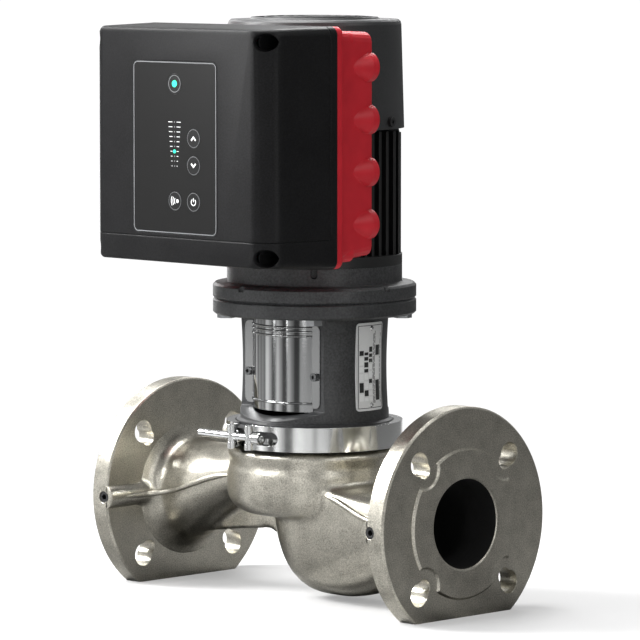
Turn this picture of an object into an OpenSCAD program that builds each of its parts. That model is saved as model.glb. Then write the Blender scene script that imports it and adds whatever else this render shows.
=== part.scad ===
// Inline centrifugal pump with a close-coupled motor and a speed controller on its side.
// +X runs along the pipe towards the suction flange, -Y is the controller's front, +Z is up.
// The pump stands on its two flanges, and the origin is in the middle of its footprint.

/* [Ports] */
// Distance between the raised faces of the two flanges
port_len = 340; // [330:1:400]
// Height of the pipe axis above the flat feet of the flanges
pipe_z = 74; // [70:1:78]
// Diameter of the bore in each port
bore_d = 71.4; // [66:0.2:72]
// Wall of the pipe necks
neck_wall = 8.3; // [6:0.1:9]

/* [Flanges] */
// Outside diameter of a flange
flange_d = 185; // [180:1:200]
// Thickness of a flange without its raised face
flange_t = 18; // [14:0.5:20]
// Height of a raised face
raised_t = 2; // [1:0.5:3]
// Diameter of a raised face
raised_d = 120; // [112:1:122]
// Bolt circle of the wide end of each slot
slot_pcd = 145; // [140:1:150]
// Diameter of the wide end of each slot
slot_d = 19; // [17:0.5:20]
// Bolt circle of the narrow end of each slot
slot_pcd_in = 130; // [126:1:134]
// Diameter of the narrow end of each slot
slot_d_in = 13.2; // [11:0.1:13.4]
// Diameter of the relief that the raised face leaves round each slot
scallop_d = 29; // [26:1:32]
// Diameter of the gauge tapping in each flange
tap_d = 9.8; // [8:0.1:11]
// Depth of the gauge tapping's thread
tap_depth = 11; // [9:1:14]
// Distance of the gauge tapping from the back of its flange
tap_in = 4; // [3:0.5:6]
// Diameter of the ridge that carries the gauge tapping
ridge_d = 20; // [17:0.5:22]

/* [Housing] */
// Diameter of the volute
volute_d = 142; // [136:1:146]
// Height of the volute's underside
volute_low = 69; // [66:1:72]
// Height of the volute from its underside to the shoulder below the clamp
volute_h = 53; // [50:1:56]
// Wall of the volute
volute_wall = 7; // [5:0.5:8]
// Height of the widest level of the volute
volute_mid = 97; // [94:1:100]
// Height of the lowest point of the suction bowl
bowl_low = 4; // [2:0.5:8]
// Half of the width of the suction bowl
bowl_half = 45; // [40:0.5:48]
// Distance of the bowl's rounded end beyond the pump axis
bowl_end = 27; // [25:0.5:34]
// Wall of the suction and discharge ducts
duct_wall = 7; // [5:0.5:8]
// Thickness of the web under the discharge pipe
web_t = 7; // [5:0.5:10]

/* [Head and clamp] */
// Bore of the housing's mouth
mouth_d = 117; // [112:0.5:118]
// Diameter of the lips that the clamp grips
lip_d = 138; // [136:0.5:139]
// Diameter of the necks beside the lips
lip_neck_d = 127; // [125:0.5:130]
// Gap between the housing's shoulder and the clamp
clamp_gap = 2.4; // [1:0.1:3]
// Height of the clamp
clamp_h = 19.7; // [18:0.1:22]
// Outside diameter of the clamp
clamp_d = 143; // [142:0.5:146]
// Thickness of the clamp's strap
strap_t = 1.3; // [1:0.1:1.5]
// Thickness of the inner clamp segments at their edges
segment_t = 1.8; // [1.5:0.1:2.2]
// Diameter of the clamp's bolt
clamp_bolt_d = 6; // [5:0.5:6.5]
// Length of the clamp's bolt
clamp_bolt_len = 63; // [55:1:75]
// Distance between the clamp's two trunnions
trunnion_gap = 20; // [18:0.5:24]
// Diameter of the trunnions
trunnion_d = 7.6; // [7.4:0.1:8]
// Thickness of the pump head
head_t = 16; // [14:0.5:18]

/* [Stool and coupling] */
// Height of the stool above the joint with the housing
stool_h = 109.2; // [104:0.2:116]
// Diameter of the stool at its ends
stool_d = 120.8; // [118:0.2:122]
// Depth of the waist in the stool's side
waist_depth = 1.6; // [1:0.1:3]
// Wall of the stool between its bore and its side
stool_wall = 10.4; // [9:0.1:12]
// Diameter of the flange between stool and motor
stool_flange_d = 165; // [160:1:170]
// Thickness of the stool's top flange
stool_flange_t = 12.4; // [10:0.2:14]
// Bolt circle of the motor's flange
motor_pcd = 143; // [140:1:145]
// Distance of the stool's flat windows from the axis
window_y = 36; // [35:0.5:38]
// Thickness of the guards' sheet
guard_t = 0.8; // [0.6:0.1:1.2]
// Half of the width of a guard across its tabs
guard_half = 43; // [42:0.5:44]
// Diameter of the coupling
coupling_d = 56; // [50:1:64]
// Length of the coupling
coupling_h = 56; // [50:1:60]

/* [Motor] */
// Thickness of the motor's flange
motor_flange_t = 12.6; // [10:0.2:14]
// Height of the round part of the end shield above its flange
shield_h = 15; // [14:0.5:17]
// Diameter of the end shield and of the stator's foot band
shield_d = 142; // [138:1:144]
// Height of the stator housing
stator_h = 110; // [104:1:116]
// Height of the plain band at the stator housing's foot
band_h = 8.4; // [7:0.2:10]
// Distance of the fin tips from the motor axis
fin_tip = 62.5; // [61:0.5:64]
// Distance from one fin to the next
fin_pitch = 8.2; // [8:0.1:8.4]
// Thickness of a fin
fin_t = 2.8; // [2:0.1:3.2]
// Number of fins on each of the motor's four sides
fin_count = 10; // [8:2:10]
// Diameter of the motor shaft in its coupling
shaft_d = 19; // [17:0.5:20]
// Diameter of the pump shaft
pump_shaft_d = 16; // [14:0.5:17]

/* [Fan] */
// Diameter of the fan cover at its lower edge
cover_d = 145; // [143:0.5:147]
// Diameter of the fan cover at its top
cover_top_d = 139.2; // [137:0.2:142]
// Height of the fan cover
cover_h = 87.4; // [84:0.2:92]
// Thickness of the fan cover
cover_t = 2.2; // [1.8:0.1:3]
// Diameter of the fan
fan_d = 118; // [104:1:122]
// Number of fan blades
fan_blades = 9; // [7:1:11]
// Height of the raised grille above the fan cover's top
crown_h = 2.4; // [1.5:0.1:3]
// Diameter of the grille
grille_d = 102; // [96:1:106]

/* [Impeller] */
// Diameter of the impeller
impeller_d = 100; // [92:1:106]
// Diameter of the impeller's eye
eye_d = 44; // [42:0.5:45]
// Number of vanes
vanes = 6; // [5:1:7]
// Width of the passages between the shrouds
vane_h = 12; // [10:0.5:13]
// Clearance between the impeller and what stands still round it
running_gap = 0.4; // [0.3:0.05:0.6]

/* [Controller] */
// Width of the controller at the joint between its two shells
box_w = 216; // [212:1:220]
// Height of the controller's lower edge
box_z = 275.5; // [273:0.5:278]
// Height of the controller at the joint between its two shells
box_h = 189.8; // [186:0.2:196]
// Distance of the joint between the two shells in front of the motor axis
joint_y = 81.5; // [81:0.5:84]
// Depth of the black front cover
front_depth = 72.5; // [68:0.5:78]
// Width of the flat front face
face_w = 178.6; // [176:0.2:184]
// Depth of the slanted edges beside the front face
bevel = 13.7; // [12:0.1:15]
// Distance of the controller's back in front of the motor axis
back_y = 33.6; // [31:0.2:36]
// Wall of both shells
box_wall = 3.2; // [2.6:0.1:4]
// Diameter of the pockets for the cover's screws
pocket_d = 14; // [12.5:0.5:15]
// Depth of the pockets' floor in front of the joint
pocket_floor = 8; // [6:0.5:10]
// Number of cable entries
entry_count = 4; // [2:1:4]
// Diameter of a cable entry's boss at the controller's back
entry_d = 24; // [21:0.5:25]

/* [Operating panel] */
// Width of the operating panel
panel_w = 95.4; // [94:0.2:100]
// Height of the operating panel
panel_h = 135; // [132:1:140]
// Height of the operating panel's centre
panel_z = 369.8; // [368:0.2:372]
// Diameter of the buttons
button_d = 14.4; // [13:0.2:15]
// Distance that a button can be pressed
button_stroke = 0.8; // [0.5:0.1:1]
// Clearance round a button
button_gap = 0.3; // [0.2:0.05:0.5]
// Diameter of the status light
light_d = 16; // [14:0.5:18]

/* [Hidden] */
$fn = 72;
slit = 0.02;
edge = 1.5;
gap = 0.1;
part_gap = 0.3;

cast_steel = "#8f8b80";
polished = "#c9cbcd";
charcoal = "#38393a";
black = "#232526";
red = "#96262c";
grey_metal = "#9a9da0";
brass = "#b08d4a";
rubber = "#1a1a1a";
copper = "#a85f32";
green = "#2e6b3f";

// Levels that follow from each other, from the floor up
z_shoulder = volute_low + volute_h;
z_clamp = z_shoulder + clamp_gap;
z_joint = z_clamp + clamp_h / 2;
z_neck_top = z_clamp + clamp_h + 2;
z_head = z_joint - head_t;
z_chamber = z_head - 2;
z_floor = volute_low + volute_wall;
z_motor = z_joint + stool_h;
z_shield = z_motor + motor_flange_t;
z_stator = z_shield + shield_h;
z_fins = z_stator + band_h;
z_rear = z_stator + stator_h;
z_cover_top = z_rear + cover_h;
z_flange_low = z_motor - stool_flange_t;

// Housing
flange_r = flange_d / 2;
bore_r = bore_d / 2;
neck_r = bore_r + neck_wall;
volute_r = volute_d / 2;
chamber_r = volute_r - volute_wall;
flange_front = port_len / 2 - raised_t;
flange_back = flange_front - flange_t;
tap_x = flange_back + tap_in;
partition_low = volute_low - 3;
duct_crest = volute_mid;
duct_points = 32;
duct_step = 12;
cap_x = 31;
groove_drop = 11.3;
groove_r = 2.6;
ring_seat_r = eye_d / 2 + 7;
ring_t = 8;
roof_crown = 1.5;
ring_bore = eye_d / 2 + 3 + running_gap;

// Clamp
clamp_r = clamp_d / 2;
strap_in = clamp_r - strap_t;
lip_r = lip_d / 2;
lip_neck_r = lip_neck_d / 2;
lip_slope = 1.8;
grip_gap = 0.3;
trunnion_y = -(clamp_r + 1.9);
trunnion_angle = asin(trunnion_gap / clamp_r);
loop_r = trunnion_d / 2 + 0.5;
bolt_head_d = 9;
bolt_head_h = 8;

// Stool and guards
stool_r = stool_d / 2;
stool_in = stool_r - stool_wall;
waist_r = stool_r - waist_depth;
sill_z = z_neck_top + 9;
sill_out = z_neck_top + 0.4;
guard_low = sill_z - 0.7;
tab_low = sill_z + 2.6;
tab_high = z_flange_low - 6.4;
guard_screw_x = 37.8;
guard_screw_z = (tab_low + tab_high) / 2 - 8;
motor_bolt_d = 8;
motor_bolt_af = 13;
motor_bolt_head = 4.6;

// Nameplate
plate_a0 = -11;
plate_a1 = 19.5;
plate_t = 0.7;
plate_low = sill_z;
plate_high = z_flange_low - 5;
plate_mid = (plate_a0 + plate_a1) / 2;

// Shaft line
bearing_de = [shaft_d / 2 + 0.5, 23.5, 14];
bearing_nde = [7.5, 17.5, 11];
z_de = z_motor + 6.6;
z_nde = z_rear + 1;
coupling_z = (z_neck_top + z_flange_low) / 2 + 1 - coupling_h / 2;
coupling_split = 1.2;
shaft_end = coupling_z + coupling_h / 2;
seat_t = 8;
seat_r = 17;
seal_t = 6;
z_impeller = z_floor + 4.5;
hub_r = 14;
nut_bore_r = 5;
z_shroud = z_impeller + 2.5;
z_back = z_shroud + vane_h;
back_t = 2.5;
z_hub = z_back + back_t + 2.5;
shaft_step_r = 10.3;
fan_z = z_nde + 22;
fan_h = 30;
fan_hub_r = 16;
fan_bore_r = 6;
rotor_r = 14;
core_h = stator_h * 0.62;
z_core = z_stator + (stator_h - core_h) / 2;
core_r = 30;
stator_in = 50;
air_gap = 0.5;

// Controller
box_low = box_z;
box_mid_z = box_z + box_h / 2;
saddle_r = cover_d / 2 + 3;
rim_t = 5.5;
pad_half = 33;
pad_y = fin_tip + 10;
pad_low = z_fins + 26;
pad_high = pad_low + 50;
pad_screws = [pad_low + 8, pad_high - 8];
bolt_bite = 10;
bolt_shank = 5.6;
bolt_head = [9.6, 4.6];
front_y = -(joint_y + front_depth);
shift_y = (joint_y + front_depth - flange_r) / 2;
corner_x = box_w / 2 - 13;
corner_z = 11.5;
entry_x = box_w / 2 - 13;
entry_top = 157;
entry_pitch = 41.2;
entry_len = 6.4;
gland_d = 16;
panel_y = front_y - 0.4;
panel_t = 2.4;
panel_corner = 5;
board_t = 1.6;
hmi_y = front_y + box_wall + 3.4;
power_y = -(joint_y + 9);
screw_x = 26;
post_x = 30;
post_z = 79;

// How far a pressed button's stem stays from the board behind it
stem_gap = 0.4;

// Everything is drawn about the pump axis and moved to the middle of the footprint
module placed() {
    translate([0, shift_y, 0]) children();
}

// Each child stands at the controller's four corner screws and points along -Y from y
module at_corners(y) {
    for (sx = [-1, 1], sz = [-1, 1])
        translate([sx * corner_x, y, box_mid_z + sz * (box_h / 2 - corner_z)]) rotate([90, 0, 0]) children();
}

// A solid of revolution about the pipe axis, drawn towards +X from x
module along_pipe(x) {
    translate([x, 0, pipe_z]) rotate([0, 90, 0]) children();
}

// A cylinder whose axis runs along -Y from y to y - h
module forward(x, y, z, r, h) {
    translate([x, y, z]) rotate([90, 0, 0]) cylinder(r = r, h = h);
}

// A solid of revolution about the vertical axis with one chamfered or plain ring section
module ring(r_in, r_out, z, h) {
    translate([0, 0, z]) difference() {
        cylinder(r = r_out, h = h);
        translate([0, 0, -1]) cylinder(r = r_in, h = h + 2);
    }
}

// A slab with round corners, standing in the XZ plane and reaching from y back to y + t
module rounded_slab(w, h, r, y, t, z) {
    translate([0, y + t, z]) rotate([90, 0, 0]) union() {
        translate([-w / 2 + r, -h / 2, 0]) cube([w - 2 * r, h, t]);
        translate([-w / 2, -h / 2 + r, 0]) cube([w, h - 2 * r, t]);
        for (sx = [-1, 1], sz = [-1, 1])
            translate([sx * (w / 2 - r), sz * (h / 2 - r), 0]) cylinder(r = r, h = t);
    }
}

function mix(a, b, t) = a + (b - a) * t;
function ease(t) = t <= 0 ? 0 : t >= 1 ? 1 : t * t * (3 - 2 * t);

// A closed skin through rings that all have the same number of points
module loft(rings) {
    n = len(rings[0]);
    last = len(rings) - 1;
    points = [for (r = rings) each r];
    sides = [
        for (j = [0 : last - 1], i = [0 : n - 1])
            let (k = (i + 1) % n)
            each [[j * n + i, j * n + k, (j + 1) * n + k], [j * n + i, (j + 1) * n + k, (j + 1) * n + i]]
    ];
    ends = [[for (i = [n - 1 : -1 : 0]) i], [for (i = [0 : n - 1]) last * n + i]];
    polyhedron(points, concat(sides, ends), convexity = 8);
}

// One ring of a duct: half width w, widest at level mid, superellipse power p
function duct_ring(x, w, top, mid, low, p) = [
    for (i = [0 : duct_points - 1])
        let (a = 360 * i / duct_points, c = cos(a), s = sin(a))
        let (k = pow(pow(abs(c), p) + pow(abs(s), p), -1 / p))
        [x, w * k * c, mid + (s > 0 ? top - mid : mid - low) * k * s]
];

// The suction duct sinks from its flange into the bowl below the impeller; t is the inset of its inside
function inset(run, t) = t > 0 ? mix(neck_wall + 1.5, t, ease(run / 60)) : 0;
function suction_ring(x, t, s) =
    let (run = flange_back - x, k = inset(run, t))
    let (w = mix(neck_r, bowl_half, ease(run / 60)) - k)
    let (roof = t > 0 ? mix(pipe_z + bore_r, partition_low, ease((run - 5) / 75)) : z_joint)
    let (top = min(roof, mix(pipe_z + neck_r, duct_crest, ease(run / 55)) - k))
    let (mid = min(top - roof_crown, mix(pipe_z, volute_mid - 7, ease((run - 35) / 60))))
    let (low = mix(pipe_z - neck_r, bowl_low, ease(run / (flange_back - cap_x - 14))) + k)
    let (power = mix(2, 2.7, ease(run / 100)))
    duct_ring(x, w * s, mid + (top - mid) * s, mid, mid - (mid - low) * s, power);

// The rounded end of the bowl, as rings that shrink towards its tip; the inside ends sooner
function cap_rings(t) = [
    for (a = t > 0 ? [15, 30, 44, 57, 66] : [15, 30, 44, 57, 68, 77, 84])
        suction_ring(cap_x - (cap_x + bowl_end - t) * sin(a), t, pow(1 - pow(sin(a), 2.4), 1 / 2.4))
];
module suction_duct(t, x_start) {
    loft(concat([for (x = [x_start : -duct_step : cap_x]) suction_ring(x, t, 1)], cap_rings(t)));
}

// The discharge duct rises from the flange to the level of the volute
function discharge_ring(x, t) =
    let (k = ease((flange_back - x) / (flange_back - 62)))
    let (r = t > 0 ? bore_r : neck_r)
    duct_ring(
        -x,
        mix(r, 34 - t, k),
        mix(pipe_z + r, z_shoulder - 7 - t, k),
        mix(pipe_z, volute_mid - 2, k),
        mix(pipe_z - r, volute_low + 2 + t, k),
        2
    );
module discharge_duct(t, x_start) {
    steps = ceil((x_start - 50) / duct_step);
    loft([for (i = [0 : steps]) discharge_ring(mix(50, x_start, i / steps), t)]);
}

module flange_blank() {
    along_pipe(flange_back) rotate_extrude()
        polygon([
            [0, 0], [flange_r - edge, 0], [flange_r, edge], [flange_r, flange_t - edge],
            [flange_r - edge, flange_t], [0, flange_t]
        ]);
    difference() {
        along_pipe(flange_front - slit) cylinder(d = raised_d, h = raised_t + slit);
        for (a = [45 : 90 : 315])
            along_pipe(flange_front) rotate(a) translate([slot_pcd / 2, 0, 0])
                cylinder(d = scallop_d, h = raised_t + 1);
    }
    along_pipe(flange_back - 4) cylinder(r1 = neck_r - 0.5, r2 = neck_r + 4, h = 4.5);
    translate([tap_x, 0, pipe_z]) rotate([90, 0, 0]) cylinder(d = ridge_d, h = flange_r - 0.6);
}

module flange_holes() {
    along_pipe(flange_back - duct_step) cylinder(r = bore_r, h = port_len / 2);
    for (a = [45 : 90 : 315])
        along_pipe(flange_back - 1) rotate(a) {
            translate([slot_pcd / 2, 0, 0]) cylinder(d = slot_d, h = flange_t + 9);
            translate([slot_pcd_in / 2, 0, 0]) cylinder(d = slot_d_in, h = flange_t + 9);
        }
    translate([tap_x, 0, pipe_z]) rotate([90, 0, 0]) cylinder(d = 5, h = flange_r);
    translate([tap_x, tap_depth - flange_r, pipe_z]) rotate([90, 0, 0]) cylinder(d = tap_d, h = flange_r);
}

// Profile of the volute with its groove, the neck and the lip for the clamp
module volute_blank() {
    turn = 20;
    rise = 19;
    groove = z_shoulder - groove_drop;
    rotate_extrude() polygon(concat(
        [[0, volute_low]],
        [for (a = [0 : 15 : 90]) [volute_r - turn + turn * sin(a), volute_low + rise * (1 - cos(a))]],
        [for (a = [0 : 30 : 180]) [volute_r - groove_r * sin(a), groove - 5 * cos(a)]],
        [
            [volute_r, z_shoulder - edge], [volute_r - edge, z_shoulder], [lip_neck_r, z_shoulder],
            [lip_neck_r, z_joint - 5.9 - lip_slope], [lip_r, z_joint - 5.9], [lip_r, z_joint], [0, z_joint]
        ]
    ));
}

module volute_chamber() {
    turn = 15;
    rotate_extrude() polygon(concat(
        [[0, z_floor]],
        [for (a = [0 : 15 : 90]) [chamber_r - turn + turn * sin(a), z_floor + turn * (1 - cos(a))]],
        [[chamber_r, z_chamber], [mouth_d / 2, z_chamber], [mouth_d / 2, z_joint + 1], [0, z_joint + 1]]
    ));
}

// The web under the discharge duct, which ends in a small point at the flange
module web() {
    translate([0, web_t / 2, 0]) rotate([90, 0, 0]) linear_extrude(web_t)
        polygon([
            [-flange_back - 1, pipe_z - neck_r - 5.5], [-flange_back + 7, pipe_z - neck_r + 4],
            [-108, 42.5], [-70, 47.7], [-53, 49.2], [-39, 46.5], [-15, 38], [0, volute_low + 4],
            [-60, volute_low + 4], [-flange_back - 1, pipe_z - 12]
        ]);
}

module pump_housing() {
    color(cast_steel) placed() difference() {
        union() {
            flange_blank();
            mirror([1, 0, 0]) flange_blank();
            suction_duct(0, flange_back + 1);
            discharge_duct(0, flange_back + 1);
            volute_blank();
            web();
        }
        flange_holes();
        mirror([1, 0, 0]) flange_holes();
        suction_duct(duct_wall, flange_back - duct_step + 0.5);
        discharge_duct(duct_wall, flange_back - 10);
        volute_chamber();
        translate([0, 0, z_floor + 1 - ring_t]) cylinder(r = ring_seat_r, h = ring_t);
        translate([0, 0, partition_low - 6]) cylinder(d = eye_d, h = ring_t + 2);
        translate([-port_len, -port_len / 2, -port_len]) cube([2 * port_len, port_len, port_len]);
    }
}

module wear_ring() {
    color(brass) placed() ring(ring_bore, ring_seat_r, z_floor + 1 - ring_t, ring_t);
}

module gauge_plugs() {
    color(black) placed() for (side = [-1, 1])
        translate([side * tap_x, tap_depth - flange_r - gap, pipe_z]) rotate([90, 0, 0]) difference() {
            cylinder(d = tap_d, h = tap_depth - 1);
            translate([0, 0, tap_depth - 6]) cylinder(d = tap_d * 0.55, h = 8, $fn = 6);
        }
}

module pump_head() {
    groove = z_head + head_t / 2 - 1.5;
    head_r = mouth_d / 2 - gap;
    color(grey_metal) placed() rotate_extrude() polygon([
        [pump_shaft_d / 2 + 3, z_head + seat_t], [seat_r, z_head + seat_t], [seat_r, z_head],
        [head_r, z_head], [head_r, groove], [head_r - 2.6, groove], [head_r - 2.6, groove + 3],
        [head_r, groove + 3], [head_r, z_joint], [pump_shaft_d / 2 + 3, z_joint]
    ]);
}

module head_o_ring() {
    color(rubber) placed() translate([0, 0, z_head + head_t / 2]) rotate_extrude()
        translate([mouth_d / 2 - 1.4, 0]) circle(r = 1.3, $fn = 32);
}

module seal_seat() {
    color(rubber) placed() ring(pump_shaft_d / 2 + 2, seat_r, z_head, seat_t);
}

// Cuts a wedge from angle a0 to a1 out of whatever is round the vertical axis
module wedge(a0, a1, z, h) {
    translate([0, 0, z]) rotate(a0) rotate_extrude(angle = a1 - a0) square([volute_d, h]);
}

module clamp_strap() {
    slot_h = 11;
    window_h = 9.5;
    color(polished) placed() difference() {
        union() {
            difference() {
                ring(strap_in, clamp_r, z_clamp, clamp_h);
                wedge(-90 - trunnion_angle, -90, z_clamp - 1, clamp_h + 2);
            }
            for (x = [0, -trunnion_gap])
                translate([x, trunnion_y, z_clamp]) cylinder(r = loop_r, h = clamp_h);
        }
        for (x = [0, -trunnion_gap])
            translate([x, trunnion_y, z_clamp - 1]) cylinder(d = trunnion_d, h = clamp_h + 2);
        translate([-trunnion_gap - 8, -clamp_r - 12, z_joint - window_h / 2])
            cube([trunnion_gap + 16, 16, window_h]);
        forward(8, -clamp_r + 9, z_joint, slot_h / 2, 9);
        forward(20, -clamp_r + 12, z_joint, slot_h / 2, 12);
        translate([8, -clamp_r - 2, z_joint - slot_h / 2]) cube([12, 12, slot_h]);
    }
}

// Two arcs with a V-shaped inside that pull the lips of housing and stool together
module clamp_segments() {
    low = z_clamp;
    high = z_clamp + clamp_h;
    color(polished) placed() for (arc = [[-64, 78], [92, 246]])
        rotate(arc[0]) rotate_extrude(angle = arc[1] - arc[0]) polygon([
            [strap_in, low], [strap_in, high], [lip_neck_r + 1, high], [lip_neck_r + 1, high - segment_t],
            [lip_r + grip_gap, z_joint + 5.9 + grip_gap], [lip_r + grip_gap, z_joint - 5.9 - grip_gap],
            [lip_neck_r + 1, low + segment_t], [lip_neck_r + 1, low]
        ]);
}

module clamp_trunnions() {
    color(polished) placed() for (x = [0, -trunnion_gap])
        difference() {
            translate([x, trunnion_y, z_clamp + 0.3]) cylinder(d = trunnion_d - 0.2, h = clamp_h - 0.6);
            translate([x - 8, trunnion_y, z_joint]) rotate([0, 90, 0])
                cylinder(d = clamp_bolt_d + 0.2, h = 16);
        }
}

module clamp_bolt() {
    head_x = loop_r + 1.2;
    color(polished) placed() difference() {
        union() {
            translate([head_x - clamp_bolt_len, trunnion_y, z_joint]) rotate([0, 90, 0])
                cylinder(d = clamp_bolt_d, h = clamp_bolt_len + 1);
            translate([head_x, trunnion_y, z_joint]) rotate([0, 90, 0])
                cylinder(d = bolt_head_d, h = bolt_head_h);
        }
        translate([head_x + bolt_head_h - 4, trunnion_y, z_joint]) rotate([0, 90, 0])
            cylinder(d = 5.8, h = 5, $fn = 6);
    }
}

// The cast body between pump and motor, with a flat window on its front and back
module motor_stool() {
    floor_t = 8;
    color(charcoal) placed() difference() {
        rotate_extrude() polygon(concat(
            [
                [20, z_joint], [lip_r, z_joint], [lip_r, z_joint + 5.9],
                [lip_neck_r, z_joint + 5.9 + lip_slope], [lip_neck_r, z_neck_top - 1.5], [stool_r, z_neck_top]
            ],
            [
                for (k = [0 : 0.125 : 1])
                    [mix(stool_r, waist_r, sin(180 * k)), mix(z_neck_top + 4, z_flange_low - 3, k)]
            ],
            [
                [stool_r + 3, z_flange_low], [stool_flange_d / 2 - edge, z_flange_low],
                [stool_flange_d / 2, z_flange_low + edge], [stool_flange_d / 2, z_motor - edge],
                [stool_flange_d / 2 - edge, z_motor], [stool_in, z_motor], [stool_in, z_joint + floor_t],
                [20, z_joint + floor_t]
            ]
        ));
        for (side = [0, 180])
            rotate(side) translate([-stool_flange_d / 2, 0, 0]) rotate([90, 0, 90])
                linear_extrude(stool_flange_d) polygon([
                    [-window_y, sill_z], [-stool_r - 1, sill_out], [-stool_r - 1, z_flange_low],
                    [-window_y, z_flange_low]
                ]);
        for (a = [45 : 90 : 315])
            rotate(a) translate([motor_pcd / 2, 0, z_flange_low - 1])
                cylinder(d = motor_bolt_d + 1, h = stool_flange_t + 2);
        for (sx = [-1, 1], sy = [-1, 1])
            translate([sx * guard_screw_x, sy * window_y, guard_screw_z]) rotate([sy * 90, 0, 0])
                cylinder(d = 3.2, h = 7);
    }
}

// Polished sheet guard, bulged round the coupling, with a flat tab on each side
module guard_sheet() {
    half_angle = acos(window_y / stool_in);
    bead_r = 0.9;
    tab_w = guard_half - stool_in * sin(half_angle) + 0.6;
    tab_h = tab_high - tab_low;
    corner = 5;
    rotate(-90 - half_angle) rotate_extrude(angle = 2 * half_angle) union() {
        translate([stool_in - guard_t, guard_low]) square([guard_t, z_flange_low - guard_low - 1.5]);
        for (z = [guard_low + 7, z_flange_low - 15.7, z_flange_low - 12, z_flange_low - 8.7])
            translate([stool_in, z]) circle(r = bead_r, $fn = 16);
    }
    for (side = [-1, 1])
        mirror([side < 0 ? 1 : 0, 0, 0]) difference() {
            translate([guard_half - tab_w, -window_y - guard_t, tab_low]) union() {
                cube([tab_w - corner, guard_t, tab_h]);
                translate([0, 0, corner]) cube([tab_w, guard_t, tab_h - 2 * corner]);
                for (z = [corner, tab_h - corner])
                    translate([tab_w - corner, guard_t, z]) rotate([90, 0, 0])
                        cylinder(r = corner, h = guard_t);
            }
            forward(guard_screw_x, 2 - window_y, guard_screw_z, 1.8, 6);
        }
}

module guard_front() {
    color(polished) placed() guard_sheet();
}

module guard_rear() {
    color(polished) placed() rotate(180) guard_sheet();
}

module guard_screws() {
    color(polished) placed() for (side = [0, 180], sx = [-1, 1])
        rotate(side) difference() {
            union() {
                forward(sx * guard_screw_x, 6 - window_y, guard_screw_z, 1.5, 7.2);
                forward(sx * guard_screw_x, -window_y - guard_t, guard_screw_z, 3.4, 2.6);
            }
            translate([sx * guard_screw_x, -window_y - guard_t - 1.2, guard_screw_z]) rotate([90, 0, 0])
                cylinder(d = 3.4, h = 2, $fn = 6);
        }
}

// Radius of the stool's outside at height z
function stool_at(z) =
    mix(stool_r, waist_r, sin(180 * (z - z_neck_top - 4) / (z_flange_low - z_neck_top - 7)));

module nameplate() {
    corner = 3;
    low_y = stool_r * sin(plate_a0);
    high_y = stool_r * sin(plate_a1);
    outline = box_ring(0, (high_y - low_y) / 2, plate_low, plate_high, corner);
    steps = [for (k = [0 : 0.125 : 1]) mix(plate_low, plate_high, k)];
    color(grey_metal) placed() intersection() {
        rotate_extrude() polygon(concat(
            [for (z = steps) [stool_at(z) + gap / 2, z]],
            [for (i = [len(steps) - 1 : -1 : 0]) [stool_at(steps[i]) + gap / 2 + plate_t, steps[i]]]
        ));
        translate([0, (low_y + high_y) / 2, 0]) rotate([90, 0, 90]) linear_extrude(stool_r + plate_t + 1)
            polygon([for (p = outline) [p[0], p[2]]]);
    }
}

module nameplate_rivets() {
    inset = 4.5;
    color(polished) placed() for (z = [plate_low + inset, plate_high - inset])
        rotate(plate_mid) translate([stool_at(z) + plate_t + part_gap, 0, z]) rotate([0, 90, 0])
            cylinder(r1 = 2, r2 = 1.2, h = 1.1);
}

// Lower motor shield with the flange, the drive end bearing's seat and drain slots
module end_shield() {
    wall = 9;
    seat = z_de + bearing_de[2];
    spigot = z_motor - 4;
    color(grey_metal) placed() difference() {
        rotate_extrude() polygon([
            [shaft_d / 2 + 1.5, spigot], [stool_in - gap, spigot], [stool_in - gap, z_motor],
            [stool_flange_d / 2 - edge, z_motor], [stool_flange_d / 2, z_motor + edge],
            [stool_flange_d / 2, z_shield - 2], [stool_flange_d / 2 - 2, z_shield],
            [shield_d / 2, z_shield + 1], [shield_d / 2, z_stator],
            [shield_d / 2 - wall, z_stator], [shield_d / 2 - wall, z_de + 2],
            [bearing_de[1] + 6, z_de + 2], [bearing_de[1] + 6, seat], [bearing_de[1], seat],
            [bearing_de[1], z_de], [shaft_d / 2 + 1.5, z_de]
        ]);
        for (a = [45 : 90 : 315]) {
            rotate(a) translate([motor_pcd / 2, 0, z_motor - 1]) cylinder(d = motor_bolt_d, h = 11.5);
            rotate(a) translate([shield_d / 2 - 4, -2.6, z_stator - 5]) cube([6, 5.2, 6]);
            rotate(a) translate([shield_d / 2 - 4, 0, z_stator - 5]) rotate([0, 90, 0])
                cylinder(r = 2.6, h = 6);
            rotate(a - 45) translate([stool_flange_d / 2, 0, z_shield - 4]) cylinder(r = 3, h = 5);
        }
    }
}

module flange_bolts() {
    grip = stool_flange_t + 9;
    color(grey_metal) placed() for (a = [45 : 90 : 315])
        rotate(a) translate([motor_pcd / 2, 0, z_flange_low]) {
            translate([0, 0, -motor_bolt_head])
                cylinder(d = motor_bolt_af / cos(30), h = motor_bolt_head, $fn = 6);
            translate([0, 0, -1]) cylinder(d = motor_bolt_d - 0.2, h = grip + 1);
        }
}

// One comb of parallel fins that stick out to +X and -X
module fin_comb(count) {
    for (i = [0 : count - 1])
        translate([-fin_tip, (i - (count - 1) / 2) * fin_pitch - fin_t / 2, z_fins - 1])
            cube([2 * fin_tip, fin_t, z_rear - z_fins - 1]);
}

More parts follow.
